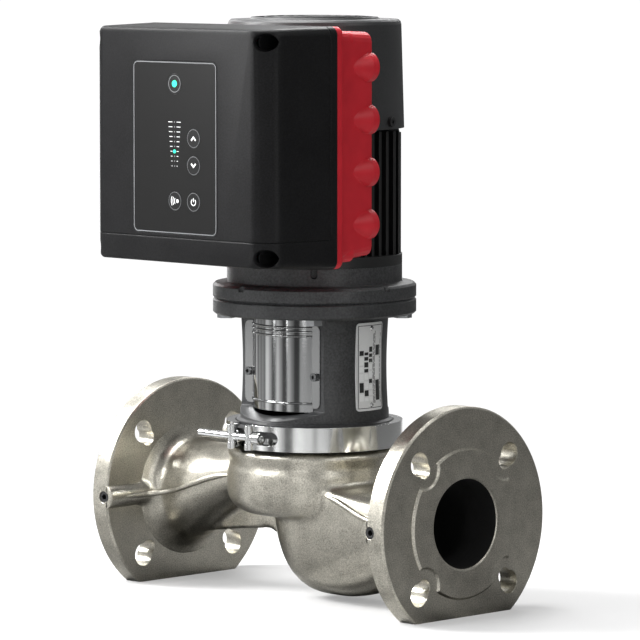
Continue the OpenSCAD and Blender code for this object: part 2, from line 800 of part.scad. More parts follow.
module stator_housing() {
    tube_r = 56;
    fin_limit = 70;
    rib_t = 9;
    rib_h = z_rear - z_fins - 2;
    color(black) placed() difference() {
        union() {
            translate([0, 0, z_stator]) cylinder(d = shield_d, h = band_h);
            translate([0, 0, z_stator]) cylinder(r = tube_r, h = stator_h);
            intersection() {
                translate([0, 0, z_stator]) cylinder(r = fin_limit, h = stator_h);
                union() {
                    fin_comb(fin_count);
                    rotate(90) fin_comb(fin_count);
                    for (a = [-45, 45])
                        rotate(a) translate([-fin_limit, -rib_t / 2, z_fins - 2])
                            cube([2 * fin_limit, rib_t, rib_h]);
                }
            }
            translate([-pad_half, -pad_y, pad_low])
                cube([2 * pad_half, pad_y - tube_r + 6, pad_high - pad_low]);
        }
        translate([0, 0, z_stator - 1]) cylinder(r = stator_in, h = stator_h + 2);
        for (x = [-screw_x, screw_x], z = pad_screws)
            forward(x, bolt_bite + 2 - pad_y, z, bolt_shank / 2 + 0.1, bolt_bite + 3);
    }
}

module stator_core() {
    slots = 24;
    slot_depth = 11;
    color(grey_metal) placed() difference() {
        ring(core_r + air_gap, stator_in - gap, z_core, core_h);
        for (i = [0 : slots - 1])
            rotate(360 * i / slots) translate([core_r + 2, -2, z_core - 1])
                cube([slot_depth, 4, core_h + 2]);
    }
}

module stator_windings() {
    turn_h = 14;
    color(copper) placed() for (z = [z_core + core_h + gap, z_core - turn_h - gap])
        ring(core_r + 3, stator_in - 5, z, turn_h);
}

module rear_shield() {
    plate_h = 12;
    lug_w = 15;
    lug_len = cover_d / 2 - cover_t - fin_tip + 6.6;
    color(charcoal) placed() difference() {
        union() {
            translate([0, 0, z_rear]) cylinder(r = fin_tip, h = plate_h);
            for (a = [12 : 90 : 282])
                rotate(a) translate([fin_tip - 8, -lug_w / 2, z_rear]) cube([lug_len, lug_w, plate_h]);
        }
        translate([0, 0, z_nde]) cylinder(r = bearing_nde[1], h = plate_h + 1);
        translate([0, 0, z_rear - 1]) cylinder(r = shaft_step_r + part_gap, h = plate_h);
        translate([0, 0, z_rear - 1]) difference() {
            cylinder(r = stator_in - 1, h = 6);
            translate([0, 0, -1]) cylinder(r = bearing_nde[1] + 6, h = 8);
        }
        for (a = [12 : 90 : 282])
            rotate(a) translate([fin_tip - 6, 0, z_rear + 6]) rotate([0, 90, 0]) cylinder(d = 4, h = 20);
    }
}

function race(b, k) = mix(b[0], b[1], k);

module bearing_outer_rings() {
    color(polished) placed() {
        ring(race(bearing_de, 0.75), bearing_de[1], z_de, bearing_de[2]);
        ring(race(bearing_nde, 0.75), bearing_nde[1], z_nde, bearing_nde[2]);
    }
}

module bearing_inner_rings() {
    color(polished) placed() {
        ring(bearing_de[0], race(bearing_de, 0.25), z_de, bearing_de[2]);
        ring(bearing_nde[0], race(bearing_nde, 0.25), z_nde, bearing_nde[2]);
    }
}

// Balls held by a thin cage ring between the two races of a bearing
module ball_cage(b, z, count) {
    pitch_r = race(b, 0.5);
    ball_r = (b[1] - b[0]) / 4 - part_gap;
    translate([0, 0, z + b[2] / 2]) union() {
        for (i = [0 : count - 1])
            rotate(360 * i / count) translate([pitch_r, 0, 0]) sphere(r = ball_r, $fn = 24);
        ring(pitch_r - 1, pitch_r + 1, -0.8, 1.6);
    }
}

module ball_cage_drive_end() {
    color(polished) placed() ball_cage(bearing_de, z_de, 8);
}

module ball_cage_fan_end() {
    color(polished) placed() ball_cage(bearing_nde, z_nde, 8);
}

// Thin drawn cover over the fan with an open grille of rings and spokes
module fan_cover() {
    low_r = cover_d / 2;
    top_r = cover_top_d / 2;
    grille_r = grille_d / 2;
    ring_w = 2.4;
    z_top = z_cover_top;
    color(black) placed() difference() {
        union() {
            rotate_extrude() polygon([
                [low_r, z_rear], [top_r + 0.5, z_top - 4], [top_r - 0.2, z_top - 1.6], [top_r - 2, z_top],
                [grille_r + 1.5, z_top], [grille_r, z_top + crown_h - 0.6],
                [grille_r - ring_w, z_top + crown_h - 0.6], [grille_r - ring_w, z_top - cover_t],
                [top_r - cover_t - 2, z_top - cover_t],
                [top_r - cover_t, z_top - 5], [low_r - cover_t, z_rear]
            ]);
            for (r = [grille_r - 10 : -8 : 8])
                ring(r - ring_w, r, z_top - 1, crown_h + 1);
            translate([0, 0, z_top - 1]) cylinder(r = 8, h = crown_h + 1);
            for (a = [0 : 30 : 150])
                rotate(a) translate([-grille_r + 1, -1.2, z_top - 1]) cube([2 * grille_r - 2, 2.4, 2.4]);
        }
        for (a = [12 : 90 : 282])
            rotate(a) translate([low_r - 8, 0, z_rear + 6]) rotate([0, 90, 0]) cylinder(d = 5, h = 16);
    }
}

module fan_cover_screws() {
    color(grey_metal) placed() for (a = [12 : 90 : 282])
        rotate(a) translate([0, 0, z_rear + 6]) rotate([0, 90, 0]) difference() {
            union() {
                translate([0, 0, fin_tip - 4]) cylinder(d = 3.8, h = cover_d / 2 - fin_tip + 5);
                translate([0, 0, cover_d / 2]) cylinder(d = 8, h = 2.7);
            }
            translate([0, 0, cover_d / 2 + 1.2]) cylinder(d = 4, h = 3, $fn = 6);
        }
}

// Points of a rounded rectangle in the XZ plane at depth y
function box_ring(y, half_w, low, high, r) = [
    for (q = [0 : 3], a = [0 : 22.5 : 90])
        let (b = -(q * 90 + a), sx = q == 0 || q == 3 ? 1 : -1, sz = q > 1 ? 1 : -1)
        [sx * (half_w - r) + r * cos(b), y, (sz > 0 ? high - r : low + r) + r * sin(b)]
];

// Outside of the front cover, or its inside when it is drawn a wall smaller
module cover_form(t) {
    half = box_w / 2;
    face_low = box_low + 3.5;
    face_high = box_low + box_h - 1.8;
    loft([
        box_ring(-joint_y + (t > 0 ? 1 : 0), half - t, box_low + t, box_low + box_h - t, 7),
        box_ring(front_y + bevel, half - 5.4 - t, face_low - 0.7 + t, face_high + 0.3 - t, 6),
        box_ring(front_y + t, face_w / 2 - t * 0.4, face_low + t, face_high - t, 5)
    ]);
}

// Outside of the red housing behind its rim, or its inside
module housing_form(t) {
    front = -joint_y + (t > 0 ? -1 : rim_t);
    top = box_low + box_h;
    loft([
        box_ring(-back_y - t, box_w / 2 - 10 - t, box_low + 8 + t, top - 5.3 - t, 8),
        box_ring(front, box_w / 2 - 4 - t, box_low + 5.5 + t, top - 3.5 - t, 7)
    ]);
}

module cable_entry() {
    taper = 22;
    forward(0, 0, 0, entry_d / 2, entry_len);
    translate([0, -entry_len, 0]) rotate([90, 0, 0])
        cylinder(r1 = entry_d / 2, r2 = entry_d / 2 - 7, h = taper);
}

function entry_z(i) = box_low + entry_top - entry_pitch * i;

// Red cast housing that saddles the motor and carries the electronics
module controller_housing() {
    screw_post = 7;
    color(red) placed() difference() {
        union() {
            difference() {
                union() {
                    housing_form(0);
                    rounded_slab(box_w, box_h - 0.6, 7, -joint_y, rim_t, box_mid_z);
                    for (i = [0 : entry_count - 1])
                        translate([entry_x, -back_y, entry_z(i)]) cable_entry();
                }
                difference() {
                    housing_form(box_wall);
                    translate([0, 0, box_low]) cylinder(r = saddle_r + box_wall, h = box_h);
                    translate([-pad_half, -pad_y - 6, pad_low])
                        cube([2 * pad_half, 40, pad_high - pad_low]);
                }
                translate([0, 0, box_low - 1]) cylinder(r = saddle_r, h = box_h + 2);
                translate([-pad_half - part_gap, -pad_y, pad_low - part_gap])
                    cube([2 * (pad_half + part_gap), 40, pad_high - pad_low + 2 * part_gap]);
            }
            translate([-pad_half, -pad_y - 6, pad_low]) cube([2 * pad_half, 6, pad_high - pad_low]);
            at_corners(-joint_y + 24) cylinder(r = screw_post, h = 24);
            for (x = [-post_x, post_x], z = [box_mid_z - post_z, box_mid_z + post_z])
                forward(x, -pad_y, z, 4, -power_y - pad_y - board_t);
        }
        at_corners(-joint_y + 20) cylinder(r = 2.6, h = 21);
        for (x = [-screw_x, screw_x], z = pad_screws)
            forward(x, bolt_bite - pad_y, z, bolt_shank / 2 + 0.5, 2 * bolt_bite);
        for (i = [0 : entry_count - 1])
            forward(entry_x - 3, 1 - back_y, entry_z(i), gland_d / 2, 14);
    }
}

module controller_bolts() {
    color(grey_metal) placed() for (x = [-screw_x, screw_x], z = pad_screws) {
        forward(x, bolt_bite - pad_y, z, bolt_shank / 2, bolt_bite + 7);
        forward(x, -pad_y - 6, z, bolt_head[0] / 2, bolt_head[1]);
    }
}

module controller_gasket() {
    color(rubber) placed() difference() {
        rounded_slab(box_w - 3, box_h - 3.6, 6, -joint_y - 0.4, 0.4, box_mid_z);
        rounded_slab(box_w - 9, box_h - 9.6, 4, -joint_y - 1, 2, box_mid_z);
        at_corners(-joint_y + 1) cylinder(r = 8, h = 3);
    }
}

// Black moulded cover with an opening behind the operating panel
module front_cover() {
    groove_z = box_low + 23.5;
    groove = 0.8;
    seat_w = panel_w + 2 * gap;
    seat_h = panel_h + 2 * gap;
    color(black) placed() difference() {
        union() {
            difference() {
                cover_form(0);
                cover_form(box_wall);
            }
            intersection() {
                cover_form(0);
                at_corners(-joint_y - 0.4) cylinder(r = pocket_d / 2 + 2, h = front_depth);
            }
            for (sx = [-1, 1], z = [box_low + 24, panel_z + panel_h / 2 + 4])
                forward(sx * panel_w / 2, hmi_y, z, 3, hmi_y - front_y - 1);
        }
        translate([0, -joint_y + 0.6, box_mid_z]) cube([2 * box_w, 2, 2 * box_h], center = true);
        translate([-box_w, -joint_y - 0.4, box_low - 10]) cube([2 * box_w, 3, box_h + 20]);
        at_corners(-joint_y - pocket_floor) cylinder(d = pocket_d, h = front_depth);
        at_corners(-joint_y + 1) cylinder(r = 3.3, h = 20);
        rounded_slab(seat_w, seat_h, panel_corner, front_y - 1, panel_t + 0.6, panel_z);
        rounded_slab(panel_w - 7, panel_h - 8, panel_corner, front_y - 1, box_wall + 4, panel_z);
        difference() {
            translate([-box_w, front_y - 1, groove_z]) cube([2 * box_w, front_depth - 5, groove]);
            cover_form(groove);
        }
    }
}

module cover_screws() {
    head = [10, 6];
    shank_d = 5;
    color(grey_metal) placed() at_corners(-joint_y - pocket_floor) difference() {
        union() {
            cylinder(d = head[0], h = head[1]);
            translate([0, 0, -pocket_floor - 16]) cylinder(d = shank_d, h = pocket_floor + 17);
        }
        translate([0, 0, 3]) cylinder(d = 5.8, h = 4, $fn = 6);
    }
}

module cable_plugs() {
    flat = entry_d - 7;
    color(rubber) placed() for (i = [0 : entry_count - 1]) {
        forward(entry_x - 3, -back_y + 3.4, entry_z(i), flat / 2, 3.4);
        forward(entry_x - 3, 1 - back_y, entry_z(i), gland_d / 2 - gap, 11);
    }
}

// Places of the four buttons in the panel: right, and above the panel's lower edge
button_places = [[21.6, 75.4], [21.6, 54.1], [0.2, 25.7], [21.5, 25.7]];
light_up = 117.7;

function panel_up(up) = panel_z - panel_h / 2 + up;

module operating_panel() {
    back = panel_y + panel_t + 1;
    color(charcoal) placed() difference() {
        rounded_slab(panel_w, panel_h, panel_corner - gap, panel_y, panel_t, panel_z);
        for (p = button_places)
            forward(p[0], back, panel_up(p[1]), button_d / 2 + button_gap, panel_t + 2);
        forward(0, back, panel_up(light_up), light_d / 2 + gap, panel_t + 2);
    }
}

module status_light() {
    color(green) placed() forward(0, panel_y + panel_t + 1, panel_up(light_up), light_d / 2, panel_t + 1);
}

module button(i) {
    x = button_places[i][0];
    z = panel_up(button_places[i][1]);
    collar_y = panel_y + panel_t + gap;
    stem_y = hmi_y - button_stroke - stem_gap;
    color(charcoal) placed() {
        forward(x, collar_y + 0.1, z, button_d / 2, panel_t + 0.1);
        forward(x, collar_y + 1, z, button_d / 2 + 1, 1);
        forward(x, stem_y, z, 2, stem_y - collar_y - 0.5);
    }
}

module button_up() {
    button(0);
}

module button_down() {
    button(1);
}

module button_wireless() {
    button(2);
}

module button_power() {
    button(3);
}

module panel_board() {
    color(green) placed() translate([-panel_w / 2 - 2, hmi_y, panel_z - panel_h / 2 - 6])
        cube([panel_w + 4, board_t, panel_h + 12]);
}

module power_board() {
    margin = 13;
    half = box_w / 2 - 22;
    color(green) placed() translate([-half, power_y, box_mid_z - box_h / 2 + margin])
        cube([2 * half, board_t, box_h - 2 * margin]);
}

module capacitors() {
    can_r = 12.5;
    can_h = 40;
    pitch = 28;
    color(black) placed() for (x = [-1.5 * pitch, -pitch / 2, pitch / 2])
        forward(x, power_y - gap, box_mid_z + 32, can_r, can_h);
}

module terminal_block() {
    pole_w = 12;
    depth = 22;
    color(green) placed() difference() {
        translate([-3 * pole_w, power_y - gap - depth, box_low + 22]) cube([6 * pole_w, depth, 16]);
        for (i = [0 : 5])
            translate([(i - 2.5) * pole_w, power_y - depth + 6, box_low + 25]) cylinder(d = 6, h = 14);
    }
}

// One turned shaft from the coupling through both bearings to the fan
module motor_shaft() {
    r = shaft_d / 2;
    step_de = z_de + bearing_de[2];
    core_top = z_core + core_h + 4;
    tip = fan_z + fan_h - 5;
    color(grey_metal) placed() rotate_extrude() polygon([
        [0, shaft_end + 1], [r - 1, shaft_end + 1], [r, shaft_end + 2], [r, z_de - 4],
        [bearing_de[0], z_de - 4], [bearing_de[0], step_de], [rotor_r, step_de], [rotor_r, core_top],
        [shaft_step_r, core_top], [shaft_step_r, z_nde], [bearing_nde[0], z_nde],
        [bearing_nde[0], z_nde + bearing_nde[2]], [fan_bore_r, z_nde + bearing_nde[2]],
        [fan_bore_r, tip - 1], [fan_bore_r - 1, tip], [0, tip]
    ]);
}

module rotor_core() {
    color(grey_metal) placed() ring(rotor_r, core_r, z_core - 3, core_h + 6);
}

module cooling_fan() {
    disc_t = 3;
    blade_t = 2.2;
    root_r = fan_hub_r - 2;
    color(black) placed() difference() {
        union() {
            translate([0, 0, fan_z]) cylinder(r = fan_hub_r, h = fan_h - 8);
            translate([0, 0, fan_z]) cylinder(d = fan_d - 8, h = disc_t);
            for (i = [0 : fan_blades - 1])
                rotate(360 * i / fan_blades) translate([root_r, -blade_t / 2, fan_z])
                    cube([fan_d / 2 - root_r, blade_t, fan_h]);
        }
        translate([0, 0, fan_z - 1]) cylinder(r = fan_bore_r, h = fan_h + 2);
    }
}

// A rubber slinger on the shaft just above the stool's flange plate
module shaft_seal_ring() {
    color(rubber) placed() ring(shaft_d / 2, shaft_d / 2 + 6, z_motor - 10, 4.5);
}

// Half of a split muff coupling with two pairs of clamping screws
module coupling_half() {
    r = coupling_d / 2;
    middle = shaft_end;
    screw_y = (coupling_d / 2 + shaft_d / 2) / 2;
    difference() {
        translate([0, 0, coupling_z]) intersection() {
            cylinder(r = r, h = coupling_h);
            translate([coupling_split / 2, -r, 0]) cube([r, 2 * r, coupling_h]);
        }
        translate([0, 0, coupling_z - 1]) cylinder(d = pump_shaft_d, h = coupling_h / 2 + 1.5);
        translate([0, 0, middle]) cylinder(d = shaft_d, h = coupling_h);
        for (sy = [-1, 1], dz = [-1, 1])
            translate([-1, sy * screw_y, middle + dz * coupling_h / 4]) rotate([0, 90, 0]) {
                cylinder(d = 5.2, h = r + 2);
                translate([0, 0, r * 0.55]) cylinder(d = 9, h = r);
            }
    }
}

module coupling_half_right() {
    color(grey_metal) placed() coupling_half();
}

module coupling_half_left() {
    color(grey_metal) placed() rotate(180) coupling_half();
}

module coupling_screws() {
    r = coupling_d / 2;
    screw_y = (coupling_d / 2 + shaft_d / 2) / 2;
    seat_x = r * 0.55 - 1;
    color(polished) placed() for (sy = [-1, 1], dz = [-1, 1])
        translate([0, sy * screw_y, shaft_end + dz * coupling_h / 4]) rotate([0, 90, 0]) difference() {
            union() {
                translate([0, 0, -seat_x]) cylinder(d = 5, h = 2 * seat_x + 1);
                translate([0, 0, seat_x]) cylinder(d = 8.5, h = 5);
                translate([0, 0, -seat_x - 4]) cylinder(d = 8.5, h = 4);
            }
            translate([0, 0, seat_x + 2.4]) cylinder(d = 4.6, h = 4, $fn = 6);
        }
}

module pump_shaft() {
    r = pump_shaft_d / 2;
    color(grey_metal) placed() rotate_extrude() polygon([
        [0, z_impeller - 5], [nut_bore_r, z_impeller - 5], [nut_bore_r, z_impeller + 3],
        [r, z_impeller + 3], [r, shaft_end - 2], [r - 1, shaft_end - 1], [0, shaft_end - 1]
    ]);
}

module seal_ring() {
    color(rubber) placed() ring(pump_shaft_d / 2, pump_shaft_d / 2 + 7, z_head - seal_t - 0.1, seal_t);
}

// Conical spring between the hub and the rotating seal ring, drawn as one closed sleeve
module seal_spring() {
    low = z_hub;
    high = z_head - seal_t - 0.1;
    color(polished) placed() translate([0, 0, low]) difference() {
        cylinder(r1 = pump_shaft_d / 2 + 5.4, r2 = pump_shaft_d / 2 + 4, h = high - low);
        translate([0, 0, -1]) cylinder(r = pump_shaft_d / 2 + 1.5, h = high - low + 2);
    }
}

// One vane follows a spiral from the eye to the rim, in short straight steps
module vane() {
    turn = 115;
    steps = 8;
    vane_t = 2;
    r0 = eye_d / 2 + 1;
    r1 = impeller_d / 2 - 0.5;
    inner = [
        for (i = [0 : steps])
            let (k = i / steps, r = mix(r0, r1, k), a = -turn * k)
            [r * cos(a), r * sin(a)]
    ];
    outer = [
        for (i = [steps : -1 : 0])
            let (k = i / steps, r = mix(r0, r1, k), a = -turn * k + asin(vane_t / r))
            [r * cos(a), r * sin(a)]
    ];
    translate([0, 0, z_shroud - 1]) linear_extrude(vane_h + 2) polygon(concat(inner, outer));
}

// Closed impeller: front shroud with its eye, curved vanes, back shroud and hub
module impeller() {
    eye_r = eye_d / 2;
    rim = impeller_d / 2;
    skirt_r = eye_r + 3;
    color(polished) placed() union() {
        rotate_extrude() polygon([
            [eye_r, z_floor - 4], [skirt_r, z_floor - 4], [skirt_r, z_impeller + 0.5],
            [rim, z_impeller + 1.5], [rim, z_shroud + 1.5], [skirt_r, z_shroud + 0.5], [eye_r, z_shroud - 1]
        ]);
        for (i = [0 : vanes - 1])
            rotate(360 * i / vanes) vane();
        rotate_extrude() polygon([
            [pump_shaft_d / 2, z_impeller + 3], [hub_r - 4, z_impeller + 3], [hub_r, z_impeller + 7],
            [hub_r + 3, z_back - 1], [rim, z_back], [rim, z_back + back_t],
            [hub_r + 1, z_back + back_t], [hub_r, z_hub], [pump_shaft_d / 2, z_hub]
        ]);
    }
}

module impeller_nut() {
    nut_h = 6;
    nut_d = 19.6;
    color(polished) placed() translate([0, 0, z_impeller + 3 - nut_h]) difference() {
        cylinder(d = nut_d, h = nut_h, $fn = 6);
        translate([0, 0, -1]) cylinder(r = nut_bore_r, h = nut_h + 2);
    }
}

pump_housing();
wear_ring();
gauge_plugs();
pump_head();
head_o_ring();
seal_seat();
clamp_strap();
clamp_segments();
clamp_trunnions();
clamp_bolt();
motor_stool();
guard_front();
guard_rear();
guard_screws();
nameplate();
nameplate_rivets();
end_shield();
flange_bolts();
stator_housing();
stator_core();
stator_windings();
rear_shield();
bearing_outer_rings();
fan_cover();
fan_cover_screws();
controller_housing();
controller_bolts();
controller_gasket();
front_cover();
cover_screws();
cable_plugs();
operating_panel();
status_light();
panel_board();
power_board();
capacitors();
terminal_block();
motor_shaft();
rotor_core();
cooling_fan();
bearing_inner_rings();
shaft_seal_ring();
coupling_half_left();
coupling_half_right();
coupling_screws();
pump_shaft();
seal_ring();
seal_spring();
impeller();
impeller_nut();
ball_cage_drive_end();
ball_cage_fan_end();
button_up();
button_down();
button_wireless();
button_power();
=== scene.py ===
# %% [markdown]
# # An inline centrifugal pump
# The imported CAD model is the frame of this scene. The script gives each of its nodes a
# procedural finish, puts finer pieces where the casting, the cover and the panel are softer or
# richer than plain solids, and sets camera and light.
# Lengths are millimetres about the pump's shaft, and `at` turns them into the frame.

# %% Load the frame
import math
import random

import bmesh
import bpy
import numpy as np
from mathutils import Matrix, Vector
from mathutils.bvhtree import BVHTree
from mathutils.kdtree import KDTree


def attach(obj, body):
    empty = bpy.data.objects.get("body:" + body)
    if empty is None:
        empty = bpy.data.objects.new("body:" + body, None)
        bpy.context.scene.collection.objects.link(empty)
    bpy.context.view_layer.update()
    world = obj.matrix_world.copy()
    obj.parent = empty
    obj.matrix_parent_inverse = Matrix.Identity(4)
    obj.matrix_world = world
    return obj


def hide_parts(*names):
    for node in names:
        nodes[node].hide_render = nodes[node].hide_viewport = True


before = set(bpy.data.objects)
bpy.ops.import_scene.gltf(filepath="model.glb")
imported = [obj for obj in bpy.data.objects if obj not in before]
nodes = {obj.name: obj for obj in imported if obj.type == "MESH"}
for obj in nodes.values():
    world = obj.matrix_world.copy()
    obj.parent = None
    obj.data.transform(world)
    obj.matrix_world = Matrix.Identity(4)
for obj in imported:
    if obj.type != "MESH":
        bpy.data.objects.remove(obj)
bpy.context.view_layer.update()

# %% [markdown]
# ## Small helpers
# The shaft stands 30.75 mm behind the frame's origin. Colours are written as the eye reads them
# on a screen, and one function turns them into the linear values that Cycles works with. One
# more function adds any node with its settings and links, so that a tree reads from top to
# bottom like a recipe.

# %% Units, colours and nodes
MM = 0.001
SHAFT_Y = 30.75


def at(x, y, z):
    """A point in the frame, in metres, from millimetres about the shaft."""
    return Vector((x * MM, (y + SHAFT_Y) * MM, z * MM))


def linear(hex_colour):
    """A linear RGBA colour from an sRGB hex code."""
    parts = [int(hex_colour[i : i + 2], 16) / 255 for i in (1, 3, 5)]
    return [c / 12.92 if c <= 0.04045 else ((c + 0.055) / 1.055) ** 2.4 for c in parts] + [1.0]


def add(tree, kind, inputs=None, **settings):
    """Adds a shader or geometry node; an input is a value or another node's output."""
    node = tree.nodes.new(kind)
    for name, value in settings.items():
        setattr(node, name, value)
    for name, value in (inputs or {}).items():
        if isinstance(value, bpy.types.NodeSocket):
            tree.links.new(value, node.inputs[name])
        else:
            node.inputs[name].default_value = value
    return node


print("screen grey #808080 is", round(linear("#808080")[0], 3), "in linear light")


# %% Blends
def mix(a, b, t):
    """The value that lies the share t of the way from a to b."""
    return a + (b - a) * t


def ease(t):
    """A soft step: 0 up to t = 0, 1 from t = 1, with no corner between."""
    t = min(max(t, 0.0), 1.0)
    return t * t * (3 - 2 * t)


print("ease of a quarter:", ease(0.25))

# %% [markdown]
# ## Meshes and pieces
# A finished piece is a plain mesh whose object sits at the frame's origin. So each one starts
# from points, and `bake` applies its modifiers at once. Booleans use the exact solver, because
# many of the pump's forms share an axis or a plane, where the fast solver leaves gaps.


# %% A new mesh, and its modifiers applied
def new_object(name, vertices, faces, material=None):
    """A mesh object from points in millimetres about the shaft."""
    mesh = bpy.data.meshes.new(name)
    mesh.from_pydata([at(*v) for v in vertices], [], faces)
    mesh.update()
    obj = bpy.data.objects.new(name, mesh)
    bpy.context.scene.collection.objects.link(obj)
    if material:
        mesh.materials.append(material)
    return obj


def bake(obj):
    """Applies every modifier, so that the piece is a plain mesh at the origin."""
    bpy.context.view_layer.update()
    evaluated = obj.evaluated_get(bpy.context.evaluated_depsgraph_get())
    mesh = bpy.data.meshes.new_from_object(evaluated)
    obj.modifiers.clear()
    old = obj.data
    obj.data = mesh
    mesh.name = obj.name
    bpy.data.meshes.remove(old)
    return obj


def combine(base, others, operation, keep=False):
    """A boolean of base with each of the others, which are used up unless they are kept."""
    for other in others:
        cut = base.modifiers.new("cut", "BOOLEAN")
        cut.operation = operation
        cut.solver = "EXACT"
        cut.object = other
        bake(base)
        if not keep:
            bpy.data.objects.remove(other)
    return base


print("pieces have their origin at", tuple(at(0, -SHAFT_Y, 0)))


# %% Edges, shading and the way onto a body
def soften_edges(obj, width_mm, angle):
    """A small round on every edge that is sharper than this many degrees."""
    bevel = obj.modifiers.new("edges", "BEVEL")
    bevel.width = width_mm * MM
    bevel.segments = 2
    bevel.limit_method = "ANGLE"
    bevel.angle_limit = math.radians(angle)
    return bake(obj)


def smooth_shading(mesh, angle):
    """Soft shading that keeps the edges sharper than this many degrees."""
    mesh.shade_smooth()
    mesh.set_sharp_from_angle(angle=math.radians(angle))


def give_materials(obj, *materials):
    """Replaces all materials of a piece."""
    obj.data.materials.clear()
    for material in materials:
        obj.data.materials.append(material)


def ride_on(obj, body, material_slot, *replaced):
    """Puts a finished piece on its body, in place of CAD nodes."""
    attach(obj, body)
    if replaced:
        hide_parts(*replaced)
    return obj


# %% [markdown]
# Two builders make nearly all forms of a pump. A turned form is a profile that goes round an
# axis, as on a lathe. A duct is a row of rings with a skin drawn over them. Both close their
# ends and turn their faces outward, because a boolean needs a closed solid.


# %% Skins through rings
def outward(obj):
    """Turns every face of a closed mesh outward."""
    form = bmesh.new()
    form.from_mesh(obj.data)
    bmesh.ops.recalc_face_normals(form, faces=form.faces)
    form.to_mesh(obj.data)
    form.free()
    return obj


def rings_mesh(name, rings):
    """A skin through rings of points, capped at both ends."""
    count = len(rings[0])
    points = [p for ring in rings for p in ring]
    faces = []
    for j in range(len(rings) - 1):
        for i in range(count):
            k = (i + 1) % count
            faces.append((j * count + i, j * count + k, (j + 1) * count + k, (j + 1) * count + i))
    faces.append(tuple(range(count - 1, -1, -1)))
    faces.append(tuple((len(rings) - 1) * count + i for i in range(count)))
    return outward(new_object(name, points, faces))


print("helpers: outward, rings_mesh")

# %% Turned forms
PIPE_Z = 74.0


def about_shaft(r, a, h):
    """A point about the shaft, for lathe: h is its height."""
    return (r * math.cos(a), r * math.sin(a), h)


def along_x(y, z):
    """A point maker for lathe: the axis runs along X through this place, and h is the X."""
    return lambda r, a, h: (h, y + r * math.cos(a), z + r * math.sin(a))


def lathe(name, profile, steps=128, to_point=about_shaft):
    """A closed profile of (radius, height) pairs turned about an axis; radius 0 closes it."""
    count = len(profile)
    points = [to_point(r, 2 * math.pi * i / steps, h) for i in range(steps) for r, h in profile]
    faces = []
    for i in range(steps):
        n = (i + 1) % steps
        for j in range(count):
            k = (j + 1) % count
            faces.append((i * count + j, n * count + j, n * count + k, i * count + k))
    obj = new_object(name, points, faces)
    form = bmesh.new()
    form.from_mesh(obj.data)
    bmesh.ops.remove_doubles(form, verts=form.verts, dist=1e-6)
    bmesh.ops.dissolve_degenerate(form, edges=form.edges, dist=1e-7)
    form.to_mesh(obj.data)
    form.free()
    return outward(obj)


along_pipe = along_x(0.0, PIPE_Z)
print("the pipe's axis lies", PIPE_Z, "mm above the floor")

# %% [markdown]
# ## Camera
# The photograph was taken with a long lens from the front right, slightly above the flanges.
# A long lens keeps upright edges nearly parallel. Place, lens and shift were found together, by
# laying the model's edges over the same edges in the photograph.

# %% Camera
CAMERA_PLACE = (2.5684, -2.5083, 0.5462)
AIM_HEIGHT = 0.250
LENS_MM = 251.4
SENSOR_MM = 36.0
camera = bpy.data.objects.new("camera", bpy.data.cameras.new("camera"))
bpy.context.scene.collection.objects.link(camera)
camera.location = CAMERA_PLACE
aim = Vector((0.0, SHAFT_Y * MM, AIM_HEIGHT)) - camera.location
camera.rotation_euler = aim.to_track_quat("-Z", "Y").to_euler()
camera.data.lens = LENS_MM
camera.data.sensor_width = SENSOR_MM
camera.data.shift_x = 0.0085
camera.data.shift_y = -0.0490
camera.data.clip_end = 200.0
bpy.context.scene.camera = camera
bpy.context.scene.view_settings.view_transform = "Standard"
print("camera at", tuple(round(v, 3) for v in camera.location))

# %% [markdown]
# ## Light
# Polished steel looks like what surrounds it, so the room counts as much as the lamps. It is
# pale above on the left and darker towards the low right, and upright bands stand in it like a
# photographer's grey cards. They draw the streaks on the guard and the clamp. The camera sees
# plain white in its place, and rays off gloss and metal see a share of that white.

# %% The room
WHITE_IN_MIRRORS = 0.30


def empty_tree(owner):
    """Turns on the nodes of a world or a material and clears them."""
    owner.use_nodes = True
    owner.node_tree.nodes.clear()
    return owner.node_tree


world = bpy.data.worlds.new("studio")
bpy.context.scene.world = world
tree = empty_tree(world)
way = add(tree, "ShaderNodeTexCoord").outputs["Generated"]
side = add(tree, "ShaderNodeVectorMath", {0: way, 1: (-0.60, -0.50, 0.62)}, operation="DOT_PRODUCT")
dim = add(tree, "ShaderNodeMapRange", {
    "Value": side.outputs["Value"], "From Min": -0.5, "From Max": 0.95, "To Min": 0.04, "To Max": 0.50
})
level = add(tree, "ShaderNodeVectorMath", {0: way, 1: (1, 1, 0)}, operation="MULTIPLY")
around = add(tree, "ShaderNodeVectorMath", {0: level.outputs["Vector"]}, operation="NORMALIZE")
cards = add(tree, "ShaderNodeTexNoise", {
    "Vector": around.outputs["Vector"], "Scale": 4.4, "Detail": 1.0, "Roughness": 0.5
})
bands = add(tree, "ShaderNodeMapRange", {
    "Value": cards.outputs[0], "From Min": 0.42, "From Max": 0.58, "To Min": 0.25, "To Max": 2.1
})
strength = add(tree, "ShaderNodeMath", {0: dim.outputs[0], 1: bands.outputs[0]}, operation="MULTIPLY")
room = add(tree, "ShaderNodeBackground", {"Color": linear("#b4b5b7"), "Strength": strength.outputs[0]})
print("the room has", len(tree.nodes), "nodes so far")

